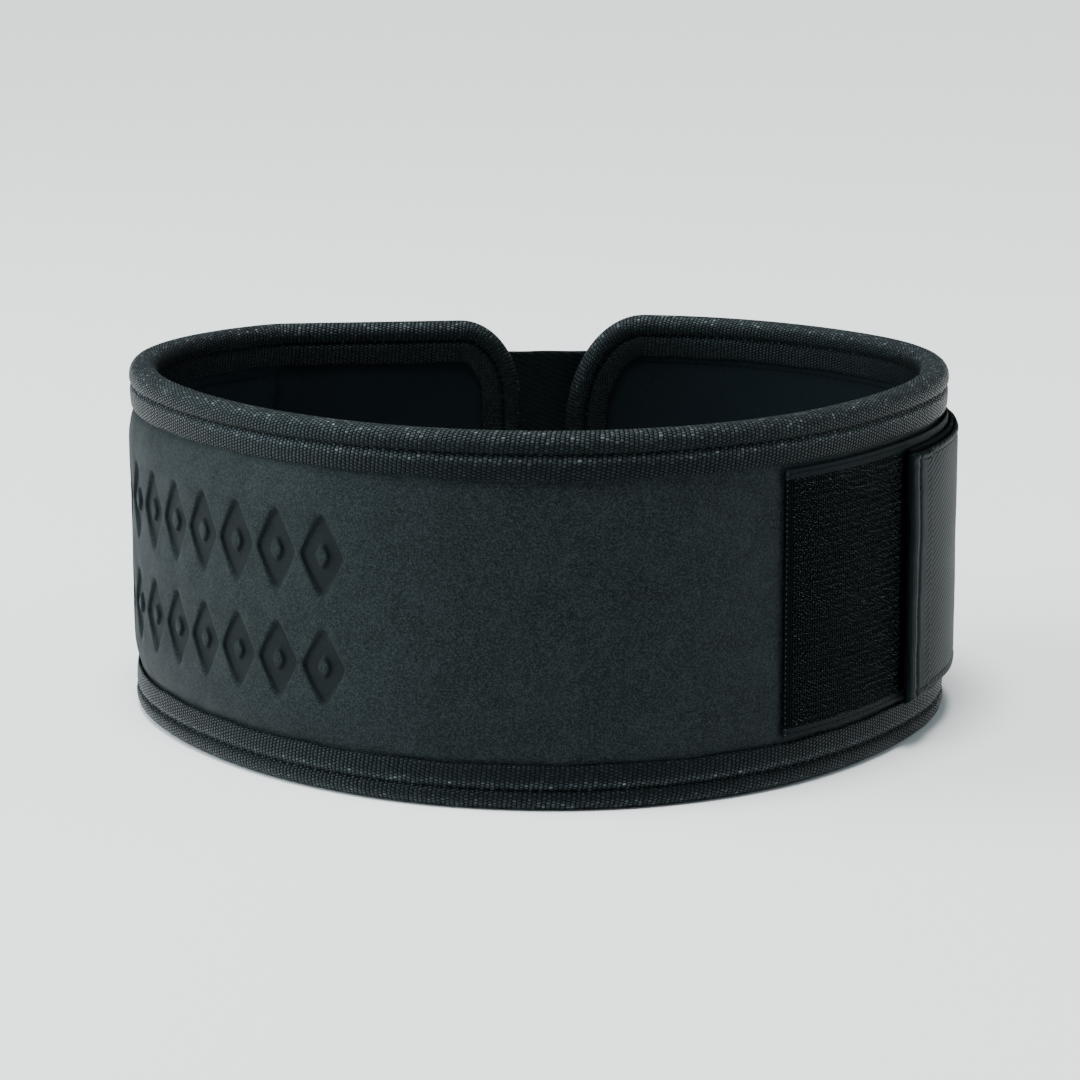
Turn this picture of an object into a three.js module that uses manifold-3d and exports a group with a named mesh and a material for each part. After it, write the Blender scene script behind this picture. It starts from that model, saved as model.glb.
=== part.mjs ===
// Weightlifting belt, closed on itself and standing on its lower edge: a leather
// panel over a padded lining, bound with woven tape, with a strip of hook tape on
// its front right and a wide webbing strap that goes round the back and over it.
// Millimetres, +Z up. The front of the belt faces -Y, its right hand end is at +X.

import * as THREE from "three";
import { mergeVertices } from "three/addons/utils/BufferGeometryUtils.js";
import Module from "manifold-3d";

const wasm = await Module();
wasm.setup();

// Driving dimensions
const stripLength = 672; // belt body from end to end, along the middle of its wall
const beltHeight = 102;
const wallThickness = 5.4; // leather and lining together, under the tape
const leatherThickness = 2;
const padRise = 2; // most that the padding lifts the leather off the tape's level
const liningRise = 0.6; // and the lining
const padGap = 0.5; // from the tape's inner edge to where the padding starts to rise
const padRamp = 9; // from there to where it is full
const clearance = 0.3; // between pieces that touch

const tapeThickness = 1;
const tapeDepth = 12.5; // how far the folded tape reaches in from the belt's edge
const rollDepth = 5.8; // from the belt's edge to the row of stitches under the roll
const rollRise = 0.2; // how far the roll stands above the rest of the tape
const tapeBevel = 0.1; // how much thinner the tape is at its inner edge
const grooveWidth = 0.7; // the groove that the stitches pull under the roll
const grooveDepth = 0.4;
const edgeRoom = 0.5; // between the cut edge of the leather and the tape's fold
const leftCorner = { length: 19, height: 25 };
const rightCorner = { length: 25, height: 36 };

const patchWidth = 74;
const patchThickness = 1;
const patchStart = 71; // from the middle of the front to the hook tape's sewn end
const patchInset = 14; // from the belt's right end to the hook tape's other end

const strapWidth = 70;
const strapThickness = 1.2;
const sewnLength = 47; // stretch of strap that is sewn on, up to the crease
const strapReach = 123; // from the middle of the front to the strap's free end
const hemLength = 14; // folded end of the strap
const hemThickness = 1.2;
const hemRamp = 1;
const loopThickness = 1;
const loopOverhang = 1.5; // loop strip's edges beyond the strap's
const loopSetback = 1.5; // loop strip's end from the strap's free end
const touchdown = 22; // from the belt's right end to where the strap meets the loops
const flightPull = 0.3; // share of the free stretch that keeps the direction of each end
const flightSteps = 9;
const headingLength = 5; // stretch that the direction of a free end is taken from

const lozengeWidth = 14;
const lozengePitch = 16;
const lozengeStroke = 4;
const lozengeDepth = 1;
const ornamentStart = -57; // middle of the lozenge nearest to the front's middle
const lozengeCount = 8;

// Bends of the waist line, from the middle of the front to each end. share is a
// row's part of the strip's length, turn its bend in degrees, steps its facets.
const rightBends = [
  { share: 0.0744, turn: 30.9, steps: 4 },
  { share: 0.067, turn: 23.5, steps: 3 },
  { share: 0.067, turn: 13.7, steps: 3 },
  { share: 0.067, turn: 25.3, steps: 4 },
  { share: 0.067, turn: 37.3, steps: 5 },
  { share: 0.067, turn: 21.1, steps: 3 },
  { share: 0.0521, turn: 22.3, steps: 3 },
  { share: 0.0417, turn: 20.6, steps: 3 },
];
const leftBends = [
  { share: 0.0744, turn: 27.9, steps: 4 },
  { share: 0.067, turn: 19.3, steps: 3 },
  { share: 0.067, turn: 14.7, steps: 3 },
  { share: 0.067, turn: 23.5, steps: 3 },
  { share: 0.067, turn: 37.8, steps: 5 },
  { share: 0.0357, turn: 17.1, steps: 3 },
  { share: 0.0119, turn: 30.6, steps: 4 }, // the crease
  { share: 0.1071, turn: -1.6, steps: 2 }, // the straight end flap
];
const frontHeading = -4.17; // degrees that the middle of the front is turned from X

// Two rows of lozenges. middle and height are shares of the belt's height.
const ornamentRows = [
  { middle: 0.64, height: 0.235 },
  { middle: 0.34, height: 0.22 },
];

// How far the strap's middle is above the belt's. share is a place along the strap,
// rise a share of the strap's width.
const strapRises = [
  { share: 0, rise: 0.06 },
  { share: 0.36, rise: 0.055 },
  { share: 0.78, rise: -0.02 },
  { share: 1, rise: -0.027 },
];

// Section of the tape's roll, from the stitches to the belt's edge. level is a share
// of the roll's height, depth a share of its own depth.
const rollSection = [
  { level: 1, depth: 0.845 },
  { level: 0.952, depth: 0.4 },
  { level: 0.68, depth: 0.1 },
  { level: 0.3, depth: 0 },
];

// How full the padding is along the belt, where the strap doesn't press it flat.
// share is a place from the left end to the right end, fill a share of the rises.
const padFills = [
  { share: 0, fill: 0.2 },
  { share: 0.1, fill: 0.6 },
  { share: 0.18, fill: 0.6 },
  { share: 0.25, fill: 1 },
  { share: 0.43, fill: 0.8 },
  { share: 0.57, fill: 0.2 },
  { share: 1, fill: 0.2 },
];

// Levels outwards from the middle of the wall, each worked out from the one below
const panelFace = wallThickness / 2;
const panelBack = panelFace - leatherThickness;
const liningFace = -wallThickness / 2;
const liningBack = panelBack - clearance;
const tapeInner = panelFace + clearance;
const tapeOuter = tapeInner + tapeThickness;
const rollOuter = tapeOuter + rollRise;
// The hook tape lies between the tape's legs, or on them where it is wider than that
const patchMargin = (beltHeight - patchWidth) / 2;
const patchOnPanel = Math.min(patchMargin, patchInset) > tapeDepth;
const patchSeat = patchOnPanel ? panelFace + padFills.at(-1).fill * padRise : tapeOuter;
const patchInner = patchSeat + clearance;
const patchOuter = patchInner + patchThickness;
const strapInner = patchOuter + clearance + loopThickness + clearance;
const sewnInner = Math.max(tapeOuter, panelFace + padFills[1].fill * padRise) + clearance;

const tapeGrip = tapeThickness + edgeRoom; // cut edge of leather and lining from the fold's crown

const sumOf = (rows) => rows.reduce((total, row) => total + row.share, 0);
const rightLength = sumOf(rightBends) * stripLength;
const leftLength = sumOf(leftBends) * stripLength;

// A track is a faceted line seen from above, with a mitred outward normal at each
// station. It carries a flat piece round its facets, so pieces on one track lie
// parallel wherever their levels differ.
function makeTrack(stations, points) {
  const facets = points.slice(1).map((point, i) => {
    const along = point.clone().sub(points[i]).normalize();
    return new THREE.Vector2(along.y, -along.x);
  });
  const mitres = points.map((point, i) => {
    const before = facets[Math.max(i - 1, 0)];
    const after = facets[Math.min(i, facets.length - 1)];
    return before.clone().add(after).divideScalar(1 + before.dot(after));
  });
  const place = (station, level) => {
    const last = stations.length - 2;
    let i = 0;
    while (i < last && station > stations[i + 1]) i += 1;
    const t = (station - stations[i]) / (stations[i + 1] - stations[i]);
    const normal = mitres[i].clone().lerp(mitres[i + 1], t);
    return points[i].clone().lerp(points[i + 1], t).addScaledVector(normal, level);
  };
  return { stations, points, place };
}

// One half of the waist line. side is 1 to the right and -1 to the left.
function walkBends(bends, side) {
  const point = new THREE.Vector2(0, 0);
  let heading = THREE.MathUtils.degToRad(frontHeading);
  let station = 0;
  const stops = [];
  for (const bend of bends) {
    const step = (bend.share * stripLength) / bend.steps;
    const turn = THREE.MathUtils.degToRad(bend.turn) / bend.steps;
    for (let i = 0; i < bend.steps; i += 1) {
      const chord = turn === 0 ? step : (step * Math.sin(turn / 2)) / (turn / 2);
      const middle = heading + (side * turn) / 2;
      point.x += side * chord * Math.cos(middle);
      point.y += side * chord * Math.sin(middle);
      heading += side * turn;
      station += side * step;
      stops.push({ station, point: point.clone() });
    }
  }
  return stops;
}

function makeWaistLine() {
  const left = walkBends(leftBends, -1).reverse();
  const middle = { station: 0, point: new THREE.Vector2(0, 0) };
  const stops = [...left, middle, ...walkBends(rightBends, 1)];
  return makeTrack(stops.map((stop) => stop.station), stops.map((stop) => stop.point));
}

const waist = makeWaistLine();

// Stations of a track between two ends, with the ends and any further ones
const leastStep = 0.4;

function columnsBetween(track, low, high, further = []) {
  const inside = [...track.stations, ...further].filter((s) => s > low && s < high);
  const sorted = [low, ...inside.sort((a, b) => a - b), high];
  const apart = (s, i) => s - sorted[i - 1] > leastStep && high - s > leastStep;
  return sorted.filter((s, i) => i === 0 || s === high || apart(s, i));
}

function toGeometry(positions, triangles) {
  const geometry = new THREE.BufferGeometry();
  geometry.setAttribute("position", new THREE.Float32BufferAttribute(positions, 3));
  geometry.setIndex(triangles);
  return geometry;
}

// A flat closed sheet, laid out as (station, -level, height). Each column has its
// lower and upper edge; one face has the rows, the other spans from edge to edge.
function flatSheet({ columns, edges, rows, rowFace, plainFace, rowsOutside }) {
  const positions = [];
  const triangles = [];
  const rowCount = rows.length;
  const each = rowCount + 2;
  for (const s of columns) {
    const [low, high] = edges(s);
    for (const row of rows) {
      const z = low + row * (high - low);
      positions.push(s, -rowFace(s, z), z);
    }
    positions.push(s, -plainFace(s), low);
    positions.push(s, -plainFace(s), high);
  }
  const quad = (a, b, c, d) => triangles.push(a, b, c, a, c, d);
  for (let i = 0; i + 1 < columns.length; i += 1) {
    const here = i * each;
    const next = here + each;
    for (let j = 0; j + 1 < rowCount; j += 1) {
      quad(here + j, next + j, next + j + 1, here + j + 1);
    }
    quad(here + rowCount + 1, next + rowCount + 1, next + rowCount, here + rowCount);
    quad(here + rowCount, next + rowCount, next, here);
    quad(here + rowCount - 1, next + rowCount - 1, next + rowCount + 1, here + rowCount + 1);
  }
  for (const [first, flip] of [[0, false], [(columns.length - 1) * each, true]]) {
    const fan = [];
    for (let j = 0; j + 1 < rowCount; j += 1) fan.push([first + rowCount, first + j, first + j + 1]);
    fan.push([first + rowCount, first + rowCount - 1, first + rowCount + 1]);
    for (const [a, b, c] of fan) triangles.push(...(flip ? [a, c, b] : [a, b, c]));
  }
  return toGeometry(positions, rowsOutside ? triangles : triangles.reverse());
}

// Cuts every triangle at the stations, so that a flat piece can bend there
function cutAtStations(geometry, stations) {
  const positions = [...geometry.getAttribute("position").array];
  let triangles = [...geometry.getIndex().array];
  for (const station of stations) {
    const side = (i) => {
      const distance = positions[3 * i] - station;
      return Math.abs(distance) < 1e-4 ? 0 : Math.sign(distance);
    };
    const crossings = new Map();
    const crossing = (a, b) => {
      const key = a < b ? `${a} ${b}` : `${b} ${a}`;
      if (!crossings.has(key)) {
        const [p, q] = a < b ? [a, b] : [b, a];
        const t = (station - positions[3 * p]) / (positions[3 * q] - positions[3 * p]);
        crossings.set(key, positions.length / 3);
        positions.push(station);
        for (const axis of [1, 2]) {
          positions.push(THREE.MathUtils.lerp(positions[3 * p + axis], positions[3 * q + axis], t));
        }
      }
      return crossings.get(key);
    };
    const kept = [];
    for (let t = 0; t < triangles.length; t += 3) {
      let corners = triangles.slice(t, t + 3);
      let sides = corners.map(side);
      if (Math.min(...sides) !== -1 || Math.max(...sides) !== 1) {
        kept.push(...corners);
        continue;
      }
      while (!(sides[0] === 0 || (sides[0] !== sides[1] && sides[0] !== sides[2] && sides[1] === sides[2]))) {
        corners = [corners[1], corners[2], corners[0]];
        sides = [sides[1], sides[2], sides[0]];
      }
      const [a, b, c] = corners;
      if (sides[0] === 0) {
        const m = crossing(b, c);
        kept.push(a, b, m, a, m, c);
      } else {
        const m = crossing(a, b);
        const n = crossing(a, c);
        kept.push(a, m, n, m, b, c, m, c, n);
      }
    }
    triangles = kept;
  }
  return toGeometry(positions, triangles);
}

// Carries a flat piece round a track
function bend(geometry, track) {
  const bent = geometry.clone();
  const position = bent.getAttribute("position");
  for (let i = 0; i < position.count; i += 1) {
    const point = track.place(position.getX(i), -position.getY(i));
    position.setXYZ(i, point.x, point.y, position.getZ(i));
  }
  bent.computeVertexNormals();
  return bent;
}

const toSolid = (geometry) => new wasm.Manifold(new wasm.Mesh({
  numProp: 3,
  vertProperties: new Float32Array(geometry.getAttribute("position").array),
  triVerts: new Uint32Array(geometry.getIndex().array),
}));

function fromSolid(solid) {
  const mesh = solid.getMesh();
  return toGeometry([...mesh.vertProperties], [...mesh.triVerts]);
}

function merged(geometry) {
  geometry.deleteAttribute("normal");
  geometry.deleteAttribute("uv");
  return mergeVertices(geometry, 1e-4);
}

// The belt's outline, drawn in by an inset at its ends and a margin at its edges: its
// lower and upper edge at a station
function outlineEdges(inset, margin = inset) {
  const cornerDrop = (distance, corner) => {
    const length = corner.length - inset;
    const height = corner.height - margin;
    if (distance >= length) return 0;
    const x = 1 - Math.max(distance, 0) / length;
    return height * (1 - Math.sqrt(1 - x * x));
  };
  return (s) => {
    const drop = Math.max(
      cornerDrop(s + leftLength - inset, leftCorner),
      cornerDrop(rightLength - inset - s, rightCorner),
    );
    return [margin + drop, beltHeight - margin - drop];
  };
}

// Extra columns where the outline rounds its corners
function cornerColumns(inset, steps = 5) {
  const columns = [];
  for (let i = 1; i <= steps; i += 1) {
    const share = 1 - Math.cos((i / steps) * (Math.PI / 2));
    columns.push(-leftLength + inset + share * (leftCorner.length - inset));
    columns.push(rightLength - inset - share * (rightCorner.length - inset));
  }
  return columns;
}

// Rows of a padded face, as shares of the height of the leather and the lining
const padEdge = tapeDepth + padGap;
const padShoulder = padEdge + padRamp / 3;
const padTop = padEdge + padRamp;
const padSteps = [0, padEdge, padShoulder, padTop];
const padHeights = [...padSteps, ...padSteps.map((depth) => beltHeight - depth).reverse()];
const padRows = padHeights.map((height) => {
  return THREE.MathUtils.clamp((height - tapeGrip) / (beltHeight - 2 * tapeGrip), 0, 1);
});

// A value read from rows of shares and values, straight from row to row
function readRows(rows, key, share) {
  let i = 0;
  while (i < rows.length - 2 && share > rows[i + 1].share) i += 1;
  const t = (share - rows[i].share) / (rows[i + 1].share - rows[i].share);
  return THREE.MathUtils.lerp(rows[i][key], rows[i + 1][key], THREE.MathUtils.clamp(t, 0, 1));
}

const padFill = (s) => readRows(padFills, "fill", (s + leftLength) / (leftLength + rightLength));

// How full a padded face is: flat under the tape, full a little inside it
function padLift(s, z) {
  const ramp = (distance) => Math.sqrt(THREE.MathUtils.clamp((distance - padEdge) / padRamp, 0, 1));
  const upright = ramp(Math.min(z, beltHeight - z));
  const fromLeft = ramp(s + leftLength - leftCorner.length);
  const fromRight = ramp(rightLength - rightCorner.length - s);
  return padFill(s) * Math.min(upright, fromLeft, fromRight);
}

function bodyColumns() {
  const rampEnds = [padEdge, padTop].flatMap((distance) => [
    -leftLength + leftCorner.length + distance,
    rightLength - rightCorner.length - distance,
  ]);
  const further = [...cornerColumns(tapeGrip), ...rampEnds];
  return columnsBetween(waist, -leftLength + tapeGrip, rightLength - tapeGrip, further);
}

// One lozenge outline with its raised middle, as a cutter through the panel's face
function lozengeCutter(middle, height, face) {
  const halfWidth = lozengeWidth / 2;
  const halfHeight = height / 2;
  const rhombus = (share) => [
    new THREE.Vector2(halfWidth * share, 0),
    new THREE.Vector2(0, halfHeight * share),
    new THREE.Vector2(-halfWidth * share, 0),
    new THREE.Vector2(0, -halfHeight * share),
  ];
  const slant = (halfWidth * halfHeight) / Math.hypot(halfWidth, halfHeight);
  const shape = new THREE.Shape(rhombus(1));
  shape.holes.push(new THREE.Path(rhombus(1 - lozengeStroke / slant).reverse()));
  const depth = lozengeDepth + padRise;
  const geometry = new THREE.ExtrudeGeometry(shape, { depth, bevelEnabled: false });
  geometry.rotateX(Math.PI / 2);
  geometry.translate(middle.x, -face + lozengeDepth, middle.y);
  return toSolid(merged(geometry));
}

function leatherPanel() {
  const sheet = flatSheet({
    columns: bodyColumns(),
    edges: outlineEdges(tapeGrip),
    rows: padRows,
    rowFace: (s, z) => panelFace + padRise * padLift(s, z),
    plainFace: () => panelBack,
    rowsOutside: true,
  });
  let panel = toSolid(sheet);
  for (const row of ornamentRows) {
    for (let i = 0; i < lozengeCount; i += 1) {
      const middle = new THREE.Vector2(ornamentStart - i * lozengePitch, row.middle * beltHeight);
      const face = panelFace + padRise * padFill(middle.x);
      panel = panel.subtract(lozengeCutter(middle, row.height * beltHeight, face));
    }
  }
  return bend(cutAtStations(fromSolid(panel), waist.stations), waist);
}

function paddedLining() {
  const sheet = flatSheet({
    columns: bodyColumns(),
    edges: outlineEdges(tapeGrip),
    rows: padRows,
    rowFace: (s, z) => liningFace - liningRise * padLift(s, z),
    plainFace: () => liningBack,
    rowsOutside: false,
  });
  return bend(sheet, waist);
}

// The belt's outline as a closed loop of points, each with its inward normal
function outlineLoop(steps = 5) {
  const loop = [];
  const low = -leftLength + leftCorner.length;
  const high = rightLength - rightCorner.length;
  const straight = columnsBetween(waist, low, high);
  const arc = (corner, centre, across, up, from) => {
    for (let i = 0; i <= steps; i += 1) {
      const angle = ((from + i / steps) * Math.PI) / 2;
      const sine = Math.sin(angle);
      const cosine = Math.cos(angle);
      const normal = new THREE.Vector2(sine / corner.length, cosine / corner.height).normalize();
      loop.push({
        s: centre.x + across * corner.length * sine,
        z: centre.y + up * corner.height * cosine,
        inward: new THREE.Vector2(-across * normal.x, -up * normal.y),
      });
    }
  };
  const edge = (columns, z, up) => {
    for (const s of columns.slice(1, -1)) loop.push({ s, z, inward: new THREE.Vector2(0, up) });
  };
  const quarter = (corner, station, up, across, from) => {
    const height = up > 0 ? beltHeight - corner.height : corner.height;
    arc(corner, new THREE.Vector2(station, height), across, up, from);
  };
  edge(straight, 0, 1);
  quarter(rightCorner, high, -1, 1, 0);
  const turned = loop.length;
  quarter(rightCorner, high, 1, 1, 0);
  loop.push(...loop.splice(turned).reverse());
  edge([...straight].reverse(), beltHeight, -1);
  quarter(leftCorner, low, 1, -1, 0);
  const back = loop.length;
  quarter(leftCorner, low, -1, -1, 0);
  loop.push(...loop.splice(back).reverse());
  return loop;
}

// Section of the folded tape: level across the wall, depth in from the belt's edge
function tapeSection() {
  const outside = [
    { level: tapeInner, depth: tapeDepth },
    { level: tapeOuter - tapeBevel, depth: tapeDepth },
    { level: tapeOuter, depth: rollDepth + grooveWidth },
    { level: tapeOuter - grooveDepth, depth: rollDepth },
    ...rollSection.map((row) => ({ level: rollOuter * row.level, depth: rollDepth * row.depth })),
  ];
  const inside = [...outside].reverse().map(({ level, depth }) => ({ level: -level, depth }));
  const fold = [
    { level: -tapeInner, depth: tapeThickness },
    { level: tapeInner, depth: tapeThickness },
  ];
  return [...outside, ...inside, ...fold];
}

function edgeBinding() {
  const section = tapeSection();
  const loop = outlineLoop();
  const positions = [];
  const triangles = [];
  for (const { s, z, inward } of loop) {
    for (const { level, depth } of section) {
      positions.push(s + inward.x * depth, -level, z + inward.y * depth);
    }
  }
  const each = section.length;
  for (let i = 0; i < loop.length; i += 1) {
    const next = (i + 1) % loop.length;
    for (let j = 0; j < each; j += 1) {
      const k = (j + 1) % each;
      const a = i * each + j;
      const b = next * each + j;
      const c = next * each + k;
      triangles.push(a, c, b, a, i * each + k, c);
    }
  }
  const flat = toGeometry(positions, triangles);
  return bend(cutAtStations(flat, waist.stations), waist);
}

// A plain strip between two stations of a track, with square or drawn-in corners
function plainStrip(track, columns, edges, inner, outer) {
  const sheet = flatSheet({
    columns,
    edges,
    rows: [0, 1],
    rowFace: outer,
    plainFace: () => inner,
    rowsOutside: true,
  });
  return bend(sheet, track);
}

function hookPatch() {
  const edges = outlineEdges(patchInset, patchMargin);
  const further = cornerColumns(patchInset);
  const columns = columnsBetween(waist, patchStart, rightLength - patchInset, further);
  return plainStrip(waist, columns, edges, patchInner, () => patchOuter);
}

// The strap's own track, from its sewn end round the back to its free end
function makeStrapTrack() {
  const crease = -leftLength + leftBends.at(-1).share * stripLength;
  const leftStations = columnsBetween(waist, crease, crease + sewnLength).reverse();
  const sewn = leftStations.map((s) => waist.place(s, sewnInner));
  const landing = rightLength - touchdown;
  const rightStations = columnsBetween(waist, strapReach, landing).reverse();
  const lying = rightStations.map((s) => waist.place(s, strapInner));
  const heading = (from, to, level) => waist.place(to, level).sub(waist.place(from, level)).normalize();
  const leaving = heading(crease + headingLength, crease, sewnInner);
  const arriving = heading(landing - headingLength, landing, strapInner);
  const span = lying[0].distanceTo(sewn.at(-1));
  const flight = new THREE.CubicBezierCurve(
    sewn.at(-1),
    sewn.at(-1).clone().addScaledVector(leaving, span * flightPull),
    lying[0].clone().addScaledVector(arriving, span * flightPull),
    lying[0],
  );
  const free = flight.getPoints(flightSteps).slice(1, -1);
  const points = [...sewn, ...free, ...lying].reverse();
  const stations = [0];
  for (let i = 1; i < points.length; i += 1) {
    stations.push(stations[i - 1] + points[i].distanceTo(points[i - 1]));
  }
  const track = makeTrack(stations, points);
  return { ...track, landing: stations[lying.length - 1], length: stations.at(-1) };
}

const strapTrack = makeStrapTrack();

// Height of the strap's middle, at a station counted from its free end
function strapMiddle(station) {
  const share = 1 - station / strapTrack.length;
  return beltHeight / 2 + strapWidth * readRows(strapRises, "rise", share);
}

function webbingStrap() {
  const edges = (u) => [strapMiddle(u) - strapWidth / 2, strapMiddle(u) + strapWidth / 2];
  const columns = columnsBetween(strapTrack, 0, strapTrack.length, [hemLength, hemLength + hemRamp]);
  const face = (u) => strapThickness + (u <= hemLength ? hemThickness : 0);
  return plainStrip(strapTrack, columns, edges, 0, face);
}

function loopStrip() {
  const halfWidth = strapWidth / 2 + loopOverhang;
  const edges = (u) => [strapMiddle(u) - halfWidth, strapMiddle(u) + halfWidth];
  const columns = columnsBetween(strapTrack, loopSetback, strapTrack.landing);
  const inner = -clearance - loopThickness;
  return plainStrip(strapTrack, columns, edges, inner, () => -clearance);
}

function finish(color, roughness) {
  return new THREE.MeshStandardMaterial({ color, roughness, metalness: 0 });
}

const belt = new THREE.Group();
const addPiece = (name, geometry, material) => {
  const mesh = new THREE.Mesh(geometry, material);
  mesh.name = name;
  belt.add(mesh);
};
addPiece("leather_panel", leatherPanel(), finish("#23282a", 0.82));
addPiece("padded_lining", paddedLining(), finish("#101214", 0.95));
addPiece("edge_binding", edgeBinding(), finish("#1c2123", 0.75));
addPiece("hook_patch", hookPatch(), finish("#0e1011", 0.8));
addPiece("loop_strip", loopStrip(), finish("#131516", 0.95));
addPiece("webbing_strap", webbingStrap(), finish("#1f2426", 0.78));

// The origin is the middle of the whole belt's box, on the surface it stands on
const box = new THREE.Box3().setFromObject(belt);
const centre = box.getCenter(new THREE.Vector3());
belt.position.set(-centre.x, -centre.y, -box.min.z);

export default belt;
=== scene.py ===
# %% [markdown]
# # A padded lifting belt, dressed in Blender
# The belt is one long strip: leather outside, a thin pad with a soft lining inside,
# and a woven tape folded over the whole edge. A patch of hook tape is sewn on its
# front, and a wide webbing strap goes round the back and closes over the hooks. Every
# piece here is a flat pattern first, and is then carried round the wearer's waist.

# %% The fixed frame
import math

import bpy
import numpy as np
from mathutils import Matrix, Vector
from mathutils.geometry import delaunay_2d_cdt


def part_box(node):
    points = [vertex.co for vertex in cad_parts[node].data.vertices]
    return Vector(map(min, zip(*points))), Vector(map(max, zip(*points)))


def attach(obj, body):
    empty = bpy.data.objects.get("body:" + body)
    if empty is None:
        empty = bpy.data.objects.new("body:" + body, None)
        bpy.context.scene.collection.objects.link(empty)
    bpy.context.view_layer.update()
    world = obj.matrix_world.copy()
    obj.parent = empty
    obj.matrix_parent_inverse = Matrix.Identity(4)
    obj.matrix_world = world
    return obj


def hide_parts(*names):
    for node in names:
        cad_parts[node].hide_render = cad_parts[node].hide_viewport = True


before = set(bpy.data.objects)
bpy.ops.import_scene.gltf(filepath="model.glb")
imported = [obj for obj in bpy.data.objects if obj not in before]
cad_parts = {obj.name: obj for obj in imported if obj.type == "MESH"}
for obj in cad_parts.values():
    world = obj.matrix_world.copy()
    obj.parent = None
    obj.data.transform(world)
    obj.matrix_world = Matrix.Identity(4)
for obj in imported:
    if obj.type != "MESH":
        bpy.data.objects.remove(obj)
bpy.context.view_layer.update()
MM = 0.001
print("frame nodes:", sorted(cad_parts))

# %% [markdown]
# ## The line that the belt follows
# Seen from above, the strip bends a little in some stretches and more in others. A
# table with the turn of each stretch holds that shape, as a maker would note it with
# a tape measure. Walking along it gives a place for any station of the strip.

# %% The waist line
strip_length = 672.0
belt_height = 102.0
front_heading = -4.17
crease_softness, crease_reach = 1.2, 18.0
line_softness = 6.0
line_step = 0.5

# share of the strip, turn in degrees, from the middle of the front to each end
right_bends = [
    (0.0744, 30.9), (0.067, 23.5), (0.067, 13.7), (0.067, 25.3),
    (0.067, 37.3), (0.067, 21.1), (0.0521, 22.3), (0.0417, 20.6),
]
left_bends = [
    (0.0744, 27.9), (0.067, 19.3), (0.067, 14.7), (0.067, 23.5),
    (0.067, 37.8), (0.0357, 17.1), (0.0119, 30.6), (0.1071, -1.6),
]
right_end = sum(share for share, turn in right_bends) * strip_length
left_end = -sum(share for share, turn in left_bends) * strip_length
crease = left_end + left_bends[-1][0] * strip_length


def soften(values, width):
    """Values smoothed over a width counted in samples, with the slope held at the ends."""
    reach = int(3 * width) + 1
    weights = np.exp(-0.5 * (np.arange(-reach, reach + 1) / width) ** 2)
    longer = np.pad(values, reach, mode="reflect", reflect_type="odd")
    return np.convolve(longer, weights / weights.sum(), mode="valid")


def bell(distance, width):
    """1 at no distance, falling to nothing past about two widths."""
    return np.exp(-((distance / width) ** 2))


class Track:
    """A line seen from above that carries a flat piece: station along, level outwards."""

    def __init__(self, points):
        steps = np.linalg.norm(np.diff(points, axis=0), axis=1)
        self.stations = np.concatenate([[0.0], np.cumsum(steps)])
        along = np.gradient(points, self.stations, axis=0)
        along /= np.linalg.norm(along, axis=1)[:, None]
        self.points = points
        self.outward = np.stack([along[:, 1], -along[:, 0]], axis=1)

    def read(self, values, station):
        columns = [np.interp(station, self.stations, values[:, k]) for k in (0, 1)]
        return np.stack(columns, axis=-1)

    def place(self, station, level, height):
        out = np.asarray(level)[..., None] * self.read(self.outward, station)
        flat = self.read(self.points, station) + out
        tall = np.broadcast_to(np.asarray(height, float), flat.shape[:-1])
        return np.concatenate([flat, tall[..., None]], axis=-1)


def walk_waist():
    knots = [(0.0, front_heading)]
    for share, turn in right_bends:
        knots.append((knots[-1][0] + share * strip_length, knots[-1][1] + turn))
    back = [(0.0, front_heading)]
    for share, turn in left_bends:
        back.append((back[-1][0] - share * strip_length, back[-1][1] - turn))
    stops, turns = np.array(back[:0:-1] + knots).T
    stations = np.arange(left_end, right_end + line_step, line_step)
    raw = np.radians(np.interp(stations, stops, turns))
    smooth = soften(raw, line_softness / line_step)
    sharp = soften(raw, crease_softness / line_step)
    heading = smooth + (sharp - smooth) * bell(stations - crease, crease_reach)
    middle = (heading[1:] + heading[:-1]) / 2
    steps = np.stack([np.cos(middle), np.sin(middle)], axis=1) * line_step
    points = np.concatenate([np.zeros((1, 2)), np.cumsum(steps, axis=0)])
    here = [np.interp(0.0, stations, points[:, k]) for k in (0, 1)]
    track = Track(points - here)
    track.stations = stations
    return track


waist = walk_waist()
roll_level = 4.2
faces_of_roll = np.concatenate([
    waist.place(waist.stations, side * roll_level, 0.0) for side in (-1, 1)
])
tape_low, tape_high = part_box("edge_binding")
wanted = np.array([(tape_low[k] + tape_high[k]) / 2 / MM for k in (0, 1)])
waist.points += wanted - (faces_of_roll[:, :2].min(0) + faces_of_roll[:, :2].max(0)) / 2
front_middle = waist.place(0.0, 0.0, 0.0)
print("strip from", round(left_end, 1), "to", round(right_end, 1), "mm")
print("front middle at", front_middle.round(2))

# %% [markdown]
# ## Camera
# The photograph was taken with a long lens from a little above the belt. It is set
# from the middle of the belt's front, so it stays right if the belt changes.

# %% The camera
camera_side, camera_back, camera_height = 3.1, 936.0, 272.3
camera_pitch, camera_roll = 12.02, -0.161
sensor_width, focal_length = 36.0, 121.6

lens = bpy.data.cameras.new("camera")
lens.sensor_width = sensor_width
lens.lens = focal_length
camera = bpy.data.objects.new("camera", lens)
bpy.context.scene.collection.objects.link(camera)
stand = (front_middle + [camera_side, -camera_back, camera_height]) * MM
look_down = Matrix.Rotation(math.radians(90 - camera_pitch), 4, "X")
roll_over = Matrix.Rotation(math.radians(camera_roll), 4, "Z")
camera.matrix_world = Matrix.Translation(stand) @ (look_down @ roll_over)
bpy.context.scene.camera = camera
print("camera at", [round(x, 4) for x in camera.location], "lens", lens.lens)

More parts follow.
